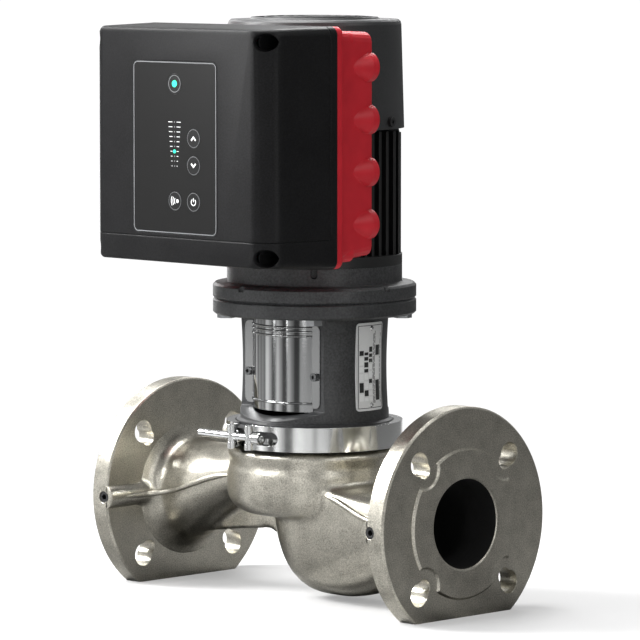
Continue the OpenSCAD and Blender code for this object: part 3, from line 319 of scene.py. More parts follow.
# %% White for the camera, and a share of it for mirrors
rays = add(tree, "ShaderNodeLightPath").outputs
mirrors = add(
    tree, "ShaderNodeMath", {0: rays["Is Glossy Ray"], 1: rays["Is Transmission Ray"]}, operation="MAXIMUM"
)
part = add(tree, "ShaderNodeMath", {0: mirrors.outputs[0], 1: WHITE_IN_MIRRORS}, operation="MULTIPLY")
seen = add(tree, "ShaderNodeMath", {0: part.outputs[0], 1: rays["Is Camera Ray"]}, operation="MAXIMUM")
white = add(tree, "ShaderNodeBackground", {"Color": (1, 1, 1, 1), "Strength": 1.0})
both = add(tree, "ShaderNodeMixShader", {0: seen.outputs[0], 1: room.outputs[0], 2: white.outputs[0]})
add(tree, "ShaderNodeOutputWorld", {"Surface": both.outputs[0]})
print("mirrors see", WHITE_IN_MIRRORS, "of the white background")

# %% [markdown]
# The floor is pale paper. Near the pump it keeps the shadow, and further out it turns into plain
# white for the camera alone. Rays that bounce see greyer paper with the same kind of bands, or
# the underside of every duct would glow.

# %% The floor's paper
floor_material = bpy.data.materials.new("white studio floor")
tree = empty_tree(floor_material)
rays = add(tree, "ShaderNodeLightPath").outputs
place = add(tree, "ShaderNodeNewGeometry").outputs["Position"]
unseen = add(tree, "ShaderNodeMath", {0: 1.0, 1: rays["Is Camera Ray"]}, operation="SUBTRACT").outputs[0]
compass = add(tree, "ShaderNodeVectorMath", {0: place}, operation="NORMALIZE")
cards = add(tree, "ShaderNodeTexNoise", {
    "Vector": compass.outputs["Vector"], "Scale": 3.1, "Detail": 1.0, "Roughness": 0.5
})
card = add(tree, "ShaderNodeMapRange", {"Value": cards.outputs[0], "From Min": 0.42, "From Max": 0.58})
bounce = add(
    tree, "ShaderNodeMix", {"Factor": card.outputs[0], 6: linear("#4a4a4a"), 7: linear("#b4b4b4")},
    data_type="RGBA",
)
tone = add(
    tree, "ShaderNodeMix", {"Factor": unseen, 6: linear("#d0d0d0"), 7: bounce.outputs[2]}, data_type="RGBA"
)
right = add(tree, "ShaderNodeVectorMath", {0: place, 1: (0.7, 0.7, 0)}, operation="DOT_PRODUCT")
behind = add(tree, "ShaderNodeMapRange", {"Value": right.outputs["Value"], "From Min": 0.25, "From Max": 0.7})
dark = add(tree, "ShaderNodeMath", {0: behind.outputs[0], 1: unseen}, operation="MULTIPLY")
dusk = add(
    tree, "ShaderNodeMix", {"Factor": dark.outputs[0], 6: tone.outputs[2], 7: linear("#666666")},
    data_type="RGBA",
)
paper = add(tree, "ShaderNodeBsdfDiffuse", {"Color": dusk.outputs[2]})
print("the paper has", len(tree.nodes), "nodes so far")

# %% White further out, and the floor itself
REACH = 60000.0
FLOOR_Z = -0.05
away = add(tree, "ShaderNodeVectorMath", {0: place}, operation="LENGTH")
white_part = add(tree, "ShaderNodeMapRange", {
    "Value": away.outputs["Value"], "From Min": 0.36, "From Max": 0.95, "To Min": 0.30, "To Max": 1.0
})
share = add(
    tree, "ShaderNodeMath", {0: rays["Is Camera Ray"], 1: white_part.outputs[0]}, operation="MULTIPLY"
)
glow = add(tree, "ShaderNodeEmission", {"Color": (1, 1, 1, 1), "Strength": 1.05})
both = add(tree, "ShaderNodeMixShader", {0: share.outputs[0], 1: paper.outputs[0], 2: glow.outputs[0]})
add(tree, "ShaderNodeOutputMaterial", {"Surface": both.outputs[0]})
corners = [(sx * REACH, sy * REACH, FLOOR_Z) for sx, sy in ((-1, -1), (1, -1), (1, 1), (-1, 1))]
floor = new_object("floor", corners, [(0, 1, 2, 3)], floor_material)
print("floor of", 2 * REACH * MM, "m")

# %% [markdown]
# The lamps are soft rectangles. The key from the upper left draws the broad bright side of the
# ducts. Narrow uprights in front draw thin lines on the clamp and the screws, and four more
# lamps behind and beside the pump part its dark edges from one another.


# %% The lamps
def soft_light(name, place, size, watts, target=(0.0, 0.0, 0.24)):
    """A rectangular area light that looks at the pump; places and sizes are metres."""
    data = bpy.data.lights.new(name, "AREA")
    data.shape = "RECTANGLE"
    data.size, data.size_y = size
    data.energy = watts
    light = bpy.data.objects.new(name, data)
    bpy.context.scene.collection.objects.link(light)
    light.location = place
    light.rotation_euler = (Vector(target) - light.location).to_track_quat("-Z", "Y").to_euler()


soft_light("key_left", (-1.8, -1.3, 2.0), (0.8, 1.3), 150)
soft_light("key_front", (-0.8, -2.5, 1.7), (0.9, 0.6), 24)
soft_light("top", (-0.5, 0.1, 2.2), (1.2, 1.2), 52)
soft_light("band_left", (-1.5, -2.1, 0.5), (0.24, 1.5), 6)
soft_light("band_middle", (-0.3, -2.4, 0.5), (0.10, 1.6), 3)
soft_light("band_front", (1.25, -2.5, 0.55), (0.35, 1.5), 6)
soft_light("fill_right", (2.4, -0.8, 0.7), (0.8, 1.6), 10)
soft_light("edge_right", (1.9, 0.5, 2.0), (0.3, 1.4), 10)
soft_light("edge_back", (-1.3, 2.1, 1.9), (1.1, 0.8), 26)
soft_light("edge_back_left", (-2.3, 0.9, 0.9), (0.5, 1.8), 14)
soft_light("sheen", (-0.27, -0.58, 0.52), (0.2, 0.2), 1.4, (0.09, -0.12, 0.42))

# %% [markdown]
# ## Materials
# Each one starts from the real thing: what it is made of, how it was finished and how coarse
# that finish is. Patterns read object coordinates, which are metres, so a grain has its real
# size on every piece. Two patterns of unlike size, one for the grain and one for slow clouds,
# keep a large surface from looking like one flat colour.


# %% A material, and a pattern with a real size
def surface(name, colour, rough, metal=0.0, **sockets):
    """A principled material and its tree, with plain values set on the shader."""
    material = bpy.data.materials.new(name)
    tree = empty_tree(material)
    shader = add(tree, "ShaderNodeBsdfPrincipled", {
        "Base Color": linear(colour), "Roughness": rough, "Metallic": metal, **sockets
    })
    add(tree, "ShaderNodeOutputMaterial", {"Surface": shader.outputs[0]})
    return material, tree, shader


def pattern(tree, size_mm, detail=3.0, rough=0.55, stretch=(1, 1, 1)):
    """A random pattern whose features are about this many millimetres across."""
    place = add(tree, "ShaderNodeTexCoord")
    scaled = add(tree, "ShaderNodeMapping", {"Vector": place.outputs["Object"], "Scale": stretch})
    return add(tree, "ShaderNodeTexNoise", {
        "Vector": scaled.outputs[0], "Scale": 1.0 / (size_mm * MM), "Detail": detail, "Roughness": rough
    }).outputs[0]


def total(tree, *terms):
    """The sum of (pattern, weight) pairs."""
    result = None
    for value, weight in terms:
        part = add(tree, "ShaderNodeMath", {0: value, 1: weight}, operation="MULTIPLY").outputs[0]
        if result is not None:
            part = add(tree, "ShaderNodeMath", {0: result, 1: part}, operation="ADD").outputs[0]
        result = part
    return result


print("helpers: surface, pattern, total")


# %% What a pattern can drive: colour, gloss and relief
def two_tone(tree, shader, value, low, high, dark, light):
    """The base colour goes from dark to light while the pattern goes from low to high."""
    share = add(tree, "ShaderNodeMapRange", {"Value": value, "From Min": low, "From Max": high})
    blend = add(
        tree, "ShaderNodeMix", {"Factor": share.outputs[0], 6: linear(dark), 7: linear(light)},
        data_type="RGBA",
    )
    tree.links.new(blend.outputs[2], shader.inputs["Base Color"])


def patchy_gloss(tree, shader, value, low, high, rough_low, rough_high):
    """The roughness follows the pattern, as on a surface that was handled or cast."""
    rough = add(tree, "ShaderNodeMapRange", {
        "Value": value, "From Min": low, "From Max": high, "To Min": rough_low, "To Max": rough_high
    })
    tree.links.new(rough.outputs[0], shader.inputs["Roughness"])


def grain(tree, shader, heights, distance_mm, strength=1.0, edge_mm=0.0):
    """A bump from a height; with edge_mm the shading also rounds the edges a little."""
    bump = add(tree, "ShaderNodeBump", {
        "Height": heights, "Distance": distance_mm * MM, "Strength": strength
    })
    if edge_mm:
        rounded = add(tree, "ShaderNodeBevel", {"Radius": edge_mm * MM}, samples=4)
        tree.links.new(rounded.outputs[0], bump.inputs["Normal"])
    tree.links.new(bump.outputs[0], shader.inputs["Normal"])


print("helpers: two_tone, patchy_gloss, grain")


# %% [markdown]
# ### Steels
# The housing is cast stainless steel that was blasted with glass beads: a warm grey with a soft,
# blotchy shine. Real blasting leaves pits of 0.1 to 0.2 mm, which no camera at this distance
# shows, so the grain is drawn about 1 mm wide. Rolled sheet is smooth instead, and shines in
# long lines along the way it was rolled.


# %% Cast, rolled and turned steel
def cast_stainless():
    """Investment-cast stainless steel, bead-blasted: warm grey, fine grain, blotchy sheen."""
    material, tree, shader = surface("cast stainless, bead-blasted", "#a5a298", 0.33, 1.0)
    fine = pattern(tree, 1.0, 2.0, 0.6)
    coarse = pattern(tree, 3.2, 3.0, 0.6)
    blotch = pattern(tree, 12, 4.0, 0.6)
    speckle = total(tree, (fine, 0.75), (blotch, 0.25))
    two_tone(tree, shader, speckle, 0.36, 0.64, "#98958b", "#cfcbbf")
    patchy_gloss(tree, shader, blotch, 0.3, 0.72, 0.28, 0.36)
    grain(tree, shader, total(tree, (fine, 0.35), (coarse, 1.0)), 0.17, 1.0, 0.9)
    return material


def painted_shade_inside():
    """The wetted inside of the casting, painted near black as the shade in the depth of a bore."""
    material, tree, shader = surface("cast stainless, inside, dark", "#0a0a09", 0.7)
    grain(tree, shader, pattern(tree, 2.4), 0.2, 0.8)
    return material


def polished_stainless():
    """Rolled stainless sheet, bright polished, with faint lines along the roll."""
    material, tree, shader = surface("stainless sheet, polished", "#dadbda", 0.13, 1.0)
    lines = pattern(tree, 1.6, 2.0, 0.5, (0.04, 0.04, 1))
    patchy_gloss(tree, shader, pattern(tree, 16), 0.3, 0.75, 0.10, 0.17)
    grain(tree, shader, lines, 0.006, 0.6, 0.3)
    return material


def brushed_stainless():
    """Thin rolled sheet of the guards: a little darker, with the finest of lines."""
    material, tree, shader = surface("stainless sheet, satin", "#969797", 0.08, 1.0)
    lines = pattern(tree, 0.9, 2.0, 0.5, (0.05, 0.05, 1))
    grain(tree, shader, lines, 0.02, 0.6, 0.3)
    return material


def turned_steel():
    """Turned or zinc-plated steel of shafts and bolts: cool grey, half bright."""
    material, tree, shader = surface("steel, turned", "#a9abad", 0.28, 1.0)
    grain(tree, shader, pattern(tree, 0.7, 2.0), 0.01, 0.6, 0.25)
    return material


CAST = cast_stainless()
INSIDE_SHADE = painted_shade_inside()
SATIN = brushed_stainless()
POLISHED = polished_stainless()
STEEL = turned_steel()
print("steels, among them:", CAST.name, INSIDE_SHADE.name)


# %% [markdown]
# ### Coated castings
# Stool and end shield are sand-cast iron under a thin dark coat. The coat is even, but the skin
# that the sand left shows through it, so most of the look is relief and little is colour. The
# controller's red housing is die-cast, which is far smoother, and powder coat adds a faint
# orange peel about 1 mm wide.


# %% Coated castings
def coated_iron(name, colour, light, rough, grain_mm):
    """Sand-cast iron under a thin dark coat: the casting's skin stays visible."""
    material, tree, shader = surface(name, colour, rough)
    skin = pattern(tree, 1.7, 3.0, 0.62)
    fine = pattern(tree, 0.6, 2.0, 0.5)
    cloud = pattern(tree, 30, 3.0, 0.6)
    two_tone(tree, shader, total(tree, (cloud, 0.3), (skin, 0.7)), 0.38, 0.62, colour, light)
    patchy_gloss(tree, shader, cloud, 0.3, 0.7, rough + 0.06, rough - 0.05)
    grain(tree, shader, total(tree, (skin, 0.7), (fine, 0.4)), grain_mm, 0.8, 0.9)
    return material


def red_paint():
    """Die-cast aluminium under a satin red powder coat with a faint orange peel."""
    material, tree, shader = surface(
        "red powder coat, satin", "#b01e2b", 0.46, **{"Specular IOR Level": 0.36}
    )
    two_tone(tree, shader, pattern(tree, 26, 2.0), 0.3, 0.7, "#bd1d2a", "#cb2531")
    grain(tree, shader, pattern(tree, 1.1, 2.0, 0.5), 0.035, 0.7, 1.0)
    return material


CHARCOAL = coated_iron("cast iron, charcoal coat", "#1d1e1f", "#393a3b", 0.44, 0.15)
SHIELD = coated_iron("cast iron, dark coat", "#1c1d1e", "#404142", 0.42, 0.16)
FINS = coated_iron("die-cast aluminium, black paint", "#0d0e0e", "#131414", 0.42, 0.04)
RED = red_paint()
print("coats, among them:", CHARCOAL.name, SHIELD.name)


# %% [markdown]
# ### Plastics, rubber and what is inside
# The black cover is moulded in a tool whose wall was eroded by sparks, which leaves a fine matt
# texture. The same recipe with less depth gives films, key caps and prints. The pieces inside
# are seen only when the part is opened, and each still gets the grain of its real make.


# %% Plastics, rubber and lamps
def textured_plastic(name, colour, light, rough, texture_mm=0.9, depth_mm=0.05, edge_mm=0.8, gloss=0.5):
    """Moulded plastic with a spark-eroded texture: matt, with soft edges."""
    material, tree, shader = surface(name, colour, rough, **{"Specular IOR Level": gloss})
    texture = pattern(tree, texture_mm, 2.0)
    cloud = pattern(tree, 40, 2.0)
    two_tone(tree, shader, total(tree, (cloud, 0.3), (texture, 0.7)), 0.38, 0.62, colour, light)
    grain(tree, shader, texture, depth_mm, 0.7, edge_mm)
    return material


def rubber():
    """Moulded rubber of seals and plugs: nearly black and dull."""
    material, tree, shader = surface("moulded rubber, matt", "#151515", 0.6)
    grain(tree, shader, pattern(tree, 0.8, 2.0), 0.02, 0.5, 0.3)
    return material


def lit(name, colour, strength):
    """A clear lens with a small lamp behind it: it glows in its own colour."""
    material, tree, shader = surface(name, colour, 0.25)
    shader.inputs["Emission Color"].default_value = linear(colour)
    shader.inputs["Emission Strength"].default_value = strength
    return material


COVER = textured_plastic("fan cover, black plastic", "#28292a", "#363738", 0.42)
BOX = textured_plastic("controller cover, black plastic", "#0f0f10", "#1a1a1b", 0.40, 1.3, 0.07, 1.2, 0.15)
FILM = textured_plastic("panel film, satin", "#151515", "#171717", 0.36, 0.5, 0.01, 0.3, 0.16)
KEY = textured_plastic("key cap, matt", "#101011", "#131313", 0.40, 0.6, 0.015, 0.4, 0.24)
DARK_STEEL = textured_plastic("blackened steel", "#1d1d1e", "#262627", 0.35, 0.8, 0.02, 0.3)
PRINT_WHITE = textured_plastic("white print", "#e6e7e8", "#f0f1f1", 0.5, 0.8, 0.004, 0.0)
# grey print for the scale's dots and the lamp's ring, and painted highlights along the keys' and the panel's
# edges
PRINT_AND_HIGHLIGHT_GREY = textured_plastic("grey print", "#6c6e70", "#76787a", 0.5, 0.8, 0.004, 0.0)
PRINT_BLACK = textured_plastic("black print", "#141415", "#1b1b1c", 0.5, 0.8, 0.004, 0.0)
RUBBER = rubber()
GREEN_LIGHT = lit("green lens, lit", "#2fe3ab", 1.2)
print("plastics, among them:", COVER.name, BOX.name)


# %% Windings, sheet stacks and boards
def copper():
    """Lacquered winding wire, bound with cord: brown, shiny along the strands."""
    material, tree, shader = surface("lacquered copper wire", "#8f4a26", 0.35, 0.8)
    grain(tree, shader, pattern(tree, 0.9, 1.0, 0.5, (1, 1, 0.1)), 0.2, 0.8)
    return material


def laminated():
    """A stack of punched electrical steel sheets: fine level lines all round."""
    material, tree, shader = surface("laminated electrical steel", "#6f7173", 0.42, 1.0)
    grain(tree, shader, pattern(tree, 0.6, 1.0, 0.5, (0.02, 0.02, 1)), 0.05, 0.8)
    return material


def board():
    """Green solder mask on a circuit board: the tracks below make it paler."""
    material, tree, shader = surface("solder mask, green", "#0f4a2a", 0.3)
    tracks = pattern(tree, 6, 2.0, 0.4, (1, 1, 0.3))
    two_tone(tree, shader, tracks, 0.48, 0.52, "#0c3d22", "#15603a")
    return material


COPPER = copper()
LAMINATED = laminated()
BOARD = board()
print("inside pieces, among them:", COPPER.name, LAMINATED.name)


# %% Finishes without a pattern
# a matt lacquer hides the plate's metal, so it reads as pale paint
PLATE = surface("aluminium plate, lacquered", "#dcdddd", 0.40)[0]
SCREW = surface("screw, stainless, dull", "#6f7071", 0.27, 1.0)[0]
BRASS = surface("brass, turned", "#b08d4a", 0.3, 1.0)[0]
print(len(bpy.data.materials), "materials")

# %% [markdown]
# ## Dressing the CAD nodes
# Most pieces look right as plain solids once they have the right finish. Their meshes stay as
# they are, and only their shading turns soft where two faces meet at less than 28 degrees.

# %% Every CAD node gets the finish of its real piece
NODE_CREASE = 28
dress = [
    (CAST, ["pump_housing"]),
    (POLISHED, [
        "clamp_strap", "clamp_segments", "clamp_trunnions", "clamp_bolt",
        "nameplate_rivets", "impeller", "impeller_nut", "seal_spring", "pump_head",
    ]),
    (SATIN, ["guard_front", "guard_rear"]),
    (SCREW, ["guard_screws"]),
    (STEEL, [
        "bearing_outer_rings", "bearing_inner_rings", "ball_cage_drive_end", "ball_cage_fan_end",
        "motor_shaft", "pump_shaft", "coupling_screws", "coupling_half_left", "coupling_half_right",
        "controller_bolts", "flange_bolts",
    ]),
    (DARK_STEEL, ["gauge_plugs", "fan_cover_screws", "cover_screws"]),
    (CHARCOAL, ["motor_stool"]),
    (SHIELD, ["end_shield", "rear_shield"]),
    (FINS, ["stator_housing"]),
    (COVER, ["fan_cover", "cooling_fan", "capacitors"]),
    (BOX, ["front_cover"]),
    (FILM, ["operating_panel"]),
    (KEY, ["button_up", "button_down", "button_wireless", "button_power", "status_light"]),
    (RED, ["controller_housing"]),
    (RUBBER, [
        "head_o_ring", "seal_seat", "seal_ring", "shaft_seal_ring", "controller_gasket", "cable_plugs",
    ]),
    (BRASS, ["wear_ring"]),
    (PLATE, ["nameplate"]),
    (LAMINATED, ["stator_core", "rotor_core"]),
    (COPPER, ["stator_windings"]),
    (BOARD, ["panel_board", "power_board", "terminal_block"]),
]
for material, names in dress:
    for name in names:
        give_materials(nodes[name], material)
        smooth_shading(nodes[name].data, NODE_CREASE)
print(sum(len(names) for _, names in dress), "nodes dressed")

# %% [markdown]
# ## Pump housing
# The casting is one skin in which two ducts, the volute and a web flow into each other. It could
# be drawn as one hand-made mesh, but its forms follow rules, so each is built alone and they are
# joined by booleans. Then the skin is remeshed to an even grid, and only the hollows where two
# forms meet are smoothed, which is where a foundry pattern has its fillets.

# %% Sizes of the casting
PORT_R = 35.7
NECK_R = 44.0
SLIM_NECK_R = 41.0
FLANGE_BACK = 150.0
SHOULDER_Z = 124.4
WALL = 7
BOWL_HALF, BOWL_TOP, BOWL_MIDDLE, BOWL_LOW = 45.0, 97.0, 90.0, 4.0
BOWL_X, BOWL_REACH = 31, 58
EXIT_HALF, EXIT_TOP, EXIT_MIDDLE, EXIT_LOW = 34, 115, 95, 71
WEB_HALF = 3.5
print("the ducts start", FLANGE_BACK, "mm from the shaft, with a radius of", NECK_R)

# %% [markdown]
# A duct's section changes on its way: it is round at the flange, and flat on top where it runs
# under the clamp. A superellipse gives both with one formula. Its power is 2 for a round section
# and more for a squarer one.


# %% Rings of the suction duct
def duct_ring(x, w, top, middle, low, power, count=96):
    """A superellipse across the pipe, widest at the level middle."""
    ring = []
    for i in range(count):
        c, s = math.cos(2 * math.pi * i / count), math.sin(2 * math.pi * i / count)
        k = (abs(c) ** power + abs(s) ** power) ** (-1 / power)
        reach = top - middle if s > 0 else middle - low
        ring.append((x, w * k * c, middle + reach * k * s))
    return ring


def suction_shape(x, wall):
    """Half width, top, middle and bottom of the suction duct, outside or a wall further in."""
    run = FLANGE_BACK - x
    inset = mix(9.8, wall, ease(run / 60)) if wall else 0.0
    roof = mix(PIPE_Z + PORT_R, 66.0, ease((run - 5) / 75)) if wall else SHOULDER_Z
    top = min(roof, mix(PIPE_Z + NECK_R, BOWL_TOP, ease(run / 55)) - inset)
    middle = min(top - 1.5, mix(PIPE_Z, BOWL_MIDDLE, ease((run - 35) / 60)))
    low = mix(PIPE_Z - NECK_R, BOWL_LOW, ease(run / 105)) + inset
    return mix(NECK_R, BOWL_HALF, ease(run / 60)) - inset, top, middle, low


def suction_power(x):
    """How square the section is: round at the flange, fuller towards the bowl."""
    return mix(2.0, 2.7, ease((FLANGE_BACK - x) / 100))


def suction_rings(start, wall):
    """The duct from its flange inwards, and the bowl's rounded end."""
    rings = []
    for x in np.arange(start, BOWL_X - 0.1, -3.0):
        rings.append(duct_ring(x, *suction_shape(x, wall), suction_power(x)))
    for angle in (8, 16, 24, 32, 40, 48, 56, 63, 66) + (() if wall else (70, 76, 82, 86)):
        s = math.sin(math.radians(angle))
        x, k = BOWL_X - (BOWL_REACH - wall) * s, (1 - s**2.4) ** (1 / 2.4)
        w, top, middle, low = suction_shape(x, wall)
        top, low = middle + (top - middle) * k, middle - (middle - low) * k
        rings.append(duct_ring(x, w * k, top, middle, low, suction_power(x)))
    return rings


print("the suction duct outside has", len(suction_rings(152, 0)), "rings")


# %% Rings of the discharge duct
def discharge_shape(x, wall):
    """The same four values for the discharge duct, at a distance x from the shaft."""
    k = ease((FLANGE_BACK - x) / 88)
    r = PORT_R if wall else SLIM_NECK_R
    half, top = mix(r, EXIT_HALF - wall, k), mix(PIPE_Z + r, EXIT_TOP - wall, k)
    return half, top, mix(PIPE_Z, EXIT_MIDDLE, k), mix(PIPE_Z - r, EXIT_LOW + wall, k)


def discharge_rings(start, wall):
    """The duct from the volute out to its flange."""
    return [duct_ring(-x, *discharge_shape(x, wall), 2.0) for x in np.arange(44, start + 0.1, 3.0)]


print("the discharge duct outside has", len(discharge_rings(152, 0)), "rings")


# %% Profiles of the volute, and the web
def housing_profile():
    """Outside of the volute with its groove, up to the shoulder under the clamp."""
    belly, groove = np.radians(np.arange(0, 91, 7.5)), np.radians(np.arange(0, 181, 15))
    points = [(0.0, 69.0)]
    points += [(51 + 20 * math.sin(a), 69 + 19 * (1 - math.cos(a))) for a in belly]
    points += [(71 - 2.6 * math.sin(a), 110.7 - 5 * math.cos(a)) for a in groove]
    points += [(71.0, 118.5), (70.4, 120.6), (69.0, 121.7), (67.0, 122.0), (63.5, 122.0)]
    return points + [(63.5, SHOULDER_Z), (0.0, SHOULDER_Z)]


def chamber_profile():
    """Inside of the volute, and the mouth above it that takes the pump head."""
    points = [(0.0, 76.0)]
    points += [(49 + 15 * math.sin(a), 76 + 15 * (1 - math.cos(a))) for a in np.radians(np.arange(0, 91, 15))]
    return points + [(64.0, 116.25), (58.5, 116.25), (58.5, 130.0), (0.0, 130.0)]


def web_form():
    """The upright rib below the discharge duct, with its hollow lower edge."""
    outline = [
        (-151, 24.5), (-143, 34), (-130, 38.5), (-108, 42.5), (-88, 45.6), (-70, 47.7),
        (-53, 49.2), (-39, 46.5), (-15, 38), (0, 73), (-60, 73), (-151, 62),
    ]
    return rings_mesh("web", [[(x, y, z) for x, z in outline] for y in (-WEB_HALF, WEB_HALF)])


print("the volute's profile has", len(housing_profile()), "points")

# %% [markdown]
# Each flange carries a half-round ridge over the hole for a pressure gauge, and a fillet behind
# it that spreads the duct's load. The ridge's open end is a piece of its own, because the even
# grid would blur the small hole.

# %% Collars, ridges and tappings
COLLAR_START, COLLAR_END = 147.5, 152.3
TAPPING_X = 154
RIDGE_R = 10


def through_flange(side):
    """A point maker for lathe: the axis runs along Y inside the thickness of a flange."""
    return lambda r, a, h: (side * TAPPING_X + r * math.cos(a), -h, PIPE_Z + r * math.sin(a))


def collar(side):
    """The fillet between a neck and the back of its flange; it ends inside the flange."""
    low, size = (39.0, 18) if side < 0 else (43.0, 13)
    start = side * (COLLAR_START - size)
    arc = [
        (low + size * (1 - math.cos(a)), side * (FLANGE_BACK - size * (1 - math.sin(a))))
        for a in np.radians(np.arange(0, 91, 10))
    ]
    profile = [(0.0, start), (low - 2, start)] + arc
    profile += [(low + size, side * COLLAR_END), (0.0, side * COLLAR_END)]
    return lathe("collar", profile, 90, along_pipe)


def ridge(side):
    """The half-round ridge over the gauge tapping, from the neck to the rim."""
    return lathe("ridge", [(0, 30), (RIDGE_R, 30), (RIDGE_R, 84), (0, 84)], 48, through_flange(side))


def tapping(side):
    """The open end of the ridge, with the hole that takes the gauge plug."""
    profile = [
        (5.0, 81.5), (5.0, 91.3), (5.5, 91.9), (9.2, 91.9), (9.8, 91.6),
        (10.05, 91.0), (10.05, 66), (9.8, 60), (0, 60), (0, 81.5),
    ]
    obj = lathe("tapping_right" if side > 0 else "tapping_left", profile, 64, through_flange(side))
    smooth_shading(obj.data, 40)
    give_materials(obj, CAST)
    return ride_on(obj, "pump", "cast_stainless")


print("a gauge tapping sits", TAPPING_X, "mm from the shaft on each side")

# %% [markdown]
# The forms are joined first and then hollowed. A search tree over the faces of the outer forms
# and another over the inner ones are kept, because they tell later which side of the wall a new
# face lies on.


# %% The forms, joined and hollowed
def skin_tree(objects):
    """A search tree over the faces of several forms."""
    points, faces = [], []
    for obj in objects:
        start = len(points)
        points += [v.co.copy() for v in obj.data.vertices]
        faces += [[start + i for i in face.vertices] for face in obj.data.polygons]
    return BVHTree.FromPolygons(points, faces)


housing = lathe("housing_casting", housing_profile(), 160)
outer = [
    rings_mesh("suction", suction_rings(152, 0)), rings_mesh("discharge", discharge_rings(152, 0)),
    web_form(), collar(1), collar(-1), ridge(1), ridge(-1),
]
outer_skin = skin_tree(outer + [housing])
combine(housing, outer, "UNION")
inner = [
    lathe("chamber", chamber_profile(), 96),
    rings_mesh("suction_inside", suction_rings(138.5, WALL)),
    rings_mesh("discharge_inside", discharge_rings(141, WALL)),
    lathe("port_right", [(0, 138), (PORT_R, 138), (PORT_R, 160), (0, 160)], 96, along_pipe),
    lathe("port_left", [(0, -139), (PORT_R, -139), (PORT_R, -160), (0, -160)], 96, along_pipe),
    lathe("eye", [(0, 60), (22, 60), (22, 80), (0, 80)], 64),
]
inner_skin = skin_tree(inner)
combine(housing, inner, "DIFFERENCE")
print("housing joined:", len(housing.data.polygons), "faces")


# %% Fillets where two forms meet
def hollow_edges(mesh, least):
    """Middle points of the edges whose two faces fold inwards by at least this many degrees."""
    form = bmesh.new()
    form.from_mesh(mesh)
    points = []
    for edge in form.edges:
        if len(edge.link_faces) == 2 and edge.calc_face_angle_signed(0.0) < -math.radians(least):
            steps = max(1, int(edge.calc_length() / (3 * MM)))
            a, b = edge.verts[0].co, edge.verts[1].co
            points += [a.lerp(b, (i + 0.5) / steps) for i in range(steps)]
    form.free()
    return points


def relax(obj, factor, rounds, group=""):
    """Smooths a mesh, in one vertex group or all over."""
    smooth = obj.modifiers.new("relax", "SMOOTH")
    smooth.factor = factor
    smooth.iterations = rounds
    smooth.vertex_group = group


def fillet(obj, voxel_mm, radius_mm, rounds):
    """Remeshes evenly and lets the surface relax near its hollow edges."""
    points = hollow_edges(obj.data, 14)
    tree = KDTree(len(points))
    for i, p in enumerate(points):
        tree.insert(p, i)
    tree.balance()
    remesh = obj.modifiers.new("even", "REMESH")
    remesh.mode = "VOXEL"
    remesh.voxel_size = voxel_mm * MM
    bake(obj)
    group = obj.vertex_groups.new(name="hollows")
    for v in obj.data.vertices:
        distance = tree.find(v.co)[2] / MM
        weight = 1 - ease((distance - 0.45 * radius_mm) / (0.75 * radius_mm))
        if weight > 0:
            group.add([v.index], weight, "REPLACE")
    relax(obj, 0.6, rounds, "hollows")
    relax(obj, 0.5, 4)
    bake(obj)
    obj.vertex_groups.clear()
    return len(points)


print(fillet(housing, 1.7, 8.0, 26), "points on hollow edges")

# %% [markdown]
# The outside is blasted bright, and the water ways are painted near black as shade. One mesh can
# carry both: each face takes the material of the skin that lies nearer to it.


# %% The blasted outside and the painted shade of the water ways
def in_bore(face):
    """Whether a face belongs to the wall of a port or to the hole of its gauge tapping."""
    c = face.center / MM
    y, z = c.y - SHAFT_Y, c.z - PIPE_Z
    port = abs(c.x) > 130 and math.hypot(y, z) < PORT_R + 0.8 and abs(face.normal.x) < 0.5
    return port or (-66 < y < -30 and math.hypot(abs(c.x) - TAPPING_X, z) < 3.2)


# faces nearer the inner skin, and the bores, get the near-black painted shade
give_materials(housing, CAST, INSIDE_SHADE)
for face in housing.data.polygons:
    near, far = (skin.find_nearest(face.center)[3] for skin in (inner_skin, outer_skin))
    face.material_index = 1 if near < far or in_bore(face) else 0
housing.data.shade_smooth()
ride_on(housing, "pump", "cast_stainless")
print("housing:", len(housing.data.polygons), "faces")

# %% [markdown]
# ## Flanges
# A flange is machined, so its faces are flat and its edges crisp, and the even grid would spoil
# them. They are cut from the CAD housing instead, and get a narrow round on every edge. The
# raised face dips round each slot, so that a bolt's head clears it, and its edge is bevelled.

# %% The cutters of a raised face
STEP_X, FACE_X = 168.03, 170.4
SCALLOP_R = 65


def face_cutters(side):
    """Rounds the raised face's edge and sinks a scallop round the inner end of each slot."""
    edge = [(62.0, FACE_X), (58.2, FACE_X), (58.6, 169.9), (59.4, 168.8), (60.4, 168.1), (62.0, STEP_X)]
    mouth = [(0.0, 168.5), (35.9, 168.5), (38.0, 170.3), (0.0, 170.3)]
    cutters = [
        lathe("face_edge", [(r, side * h) for r, h in edge], 192, along_pipe),
        lathe("mouth", [(r, side * h) for r, h in mouth], 192, along_pipe),
    ]
    bowl = [(0.0, STEP_X), (13.6, STEP_X), (15.0, 168.5), (15.8, 169.4), (16.2, FACE_X), (0.0, FACE_X)]
    for turn in (45, 135, 225, 315):
        y, z = SCALLOP_R * math.cos(math.radians(turn)), PIPE_Z + SCALLOP_R * math.sin(math.radians(turn))
        cutters.append(lathe("scallop", [(r, side * h) for r, h in bowl], 64, along_x(y, z)))
    return cutters


print("a raised face stands", round(FACE_X - STEP_X, 2), "mm proud")


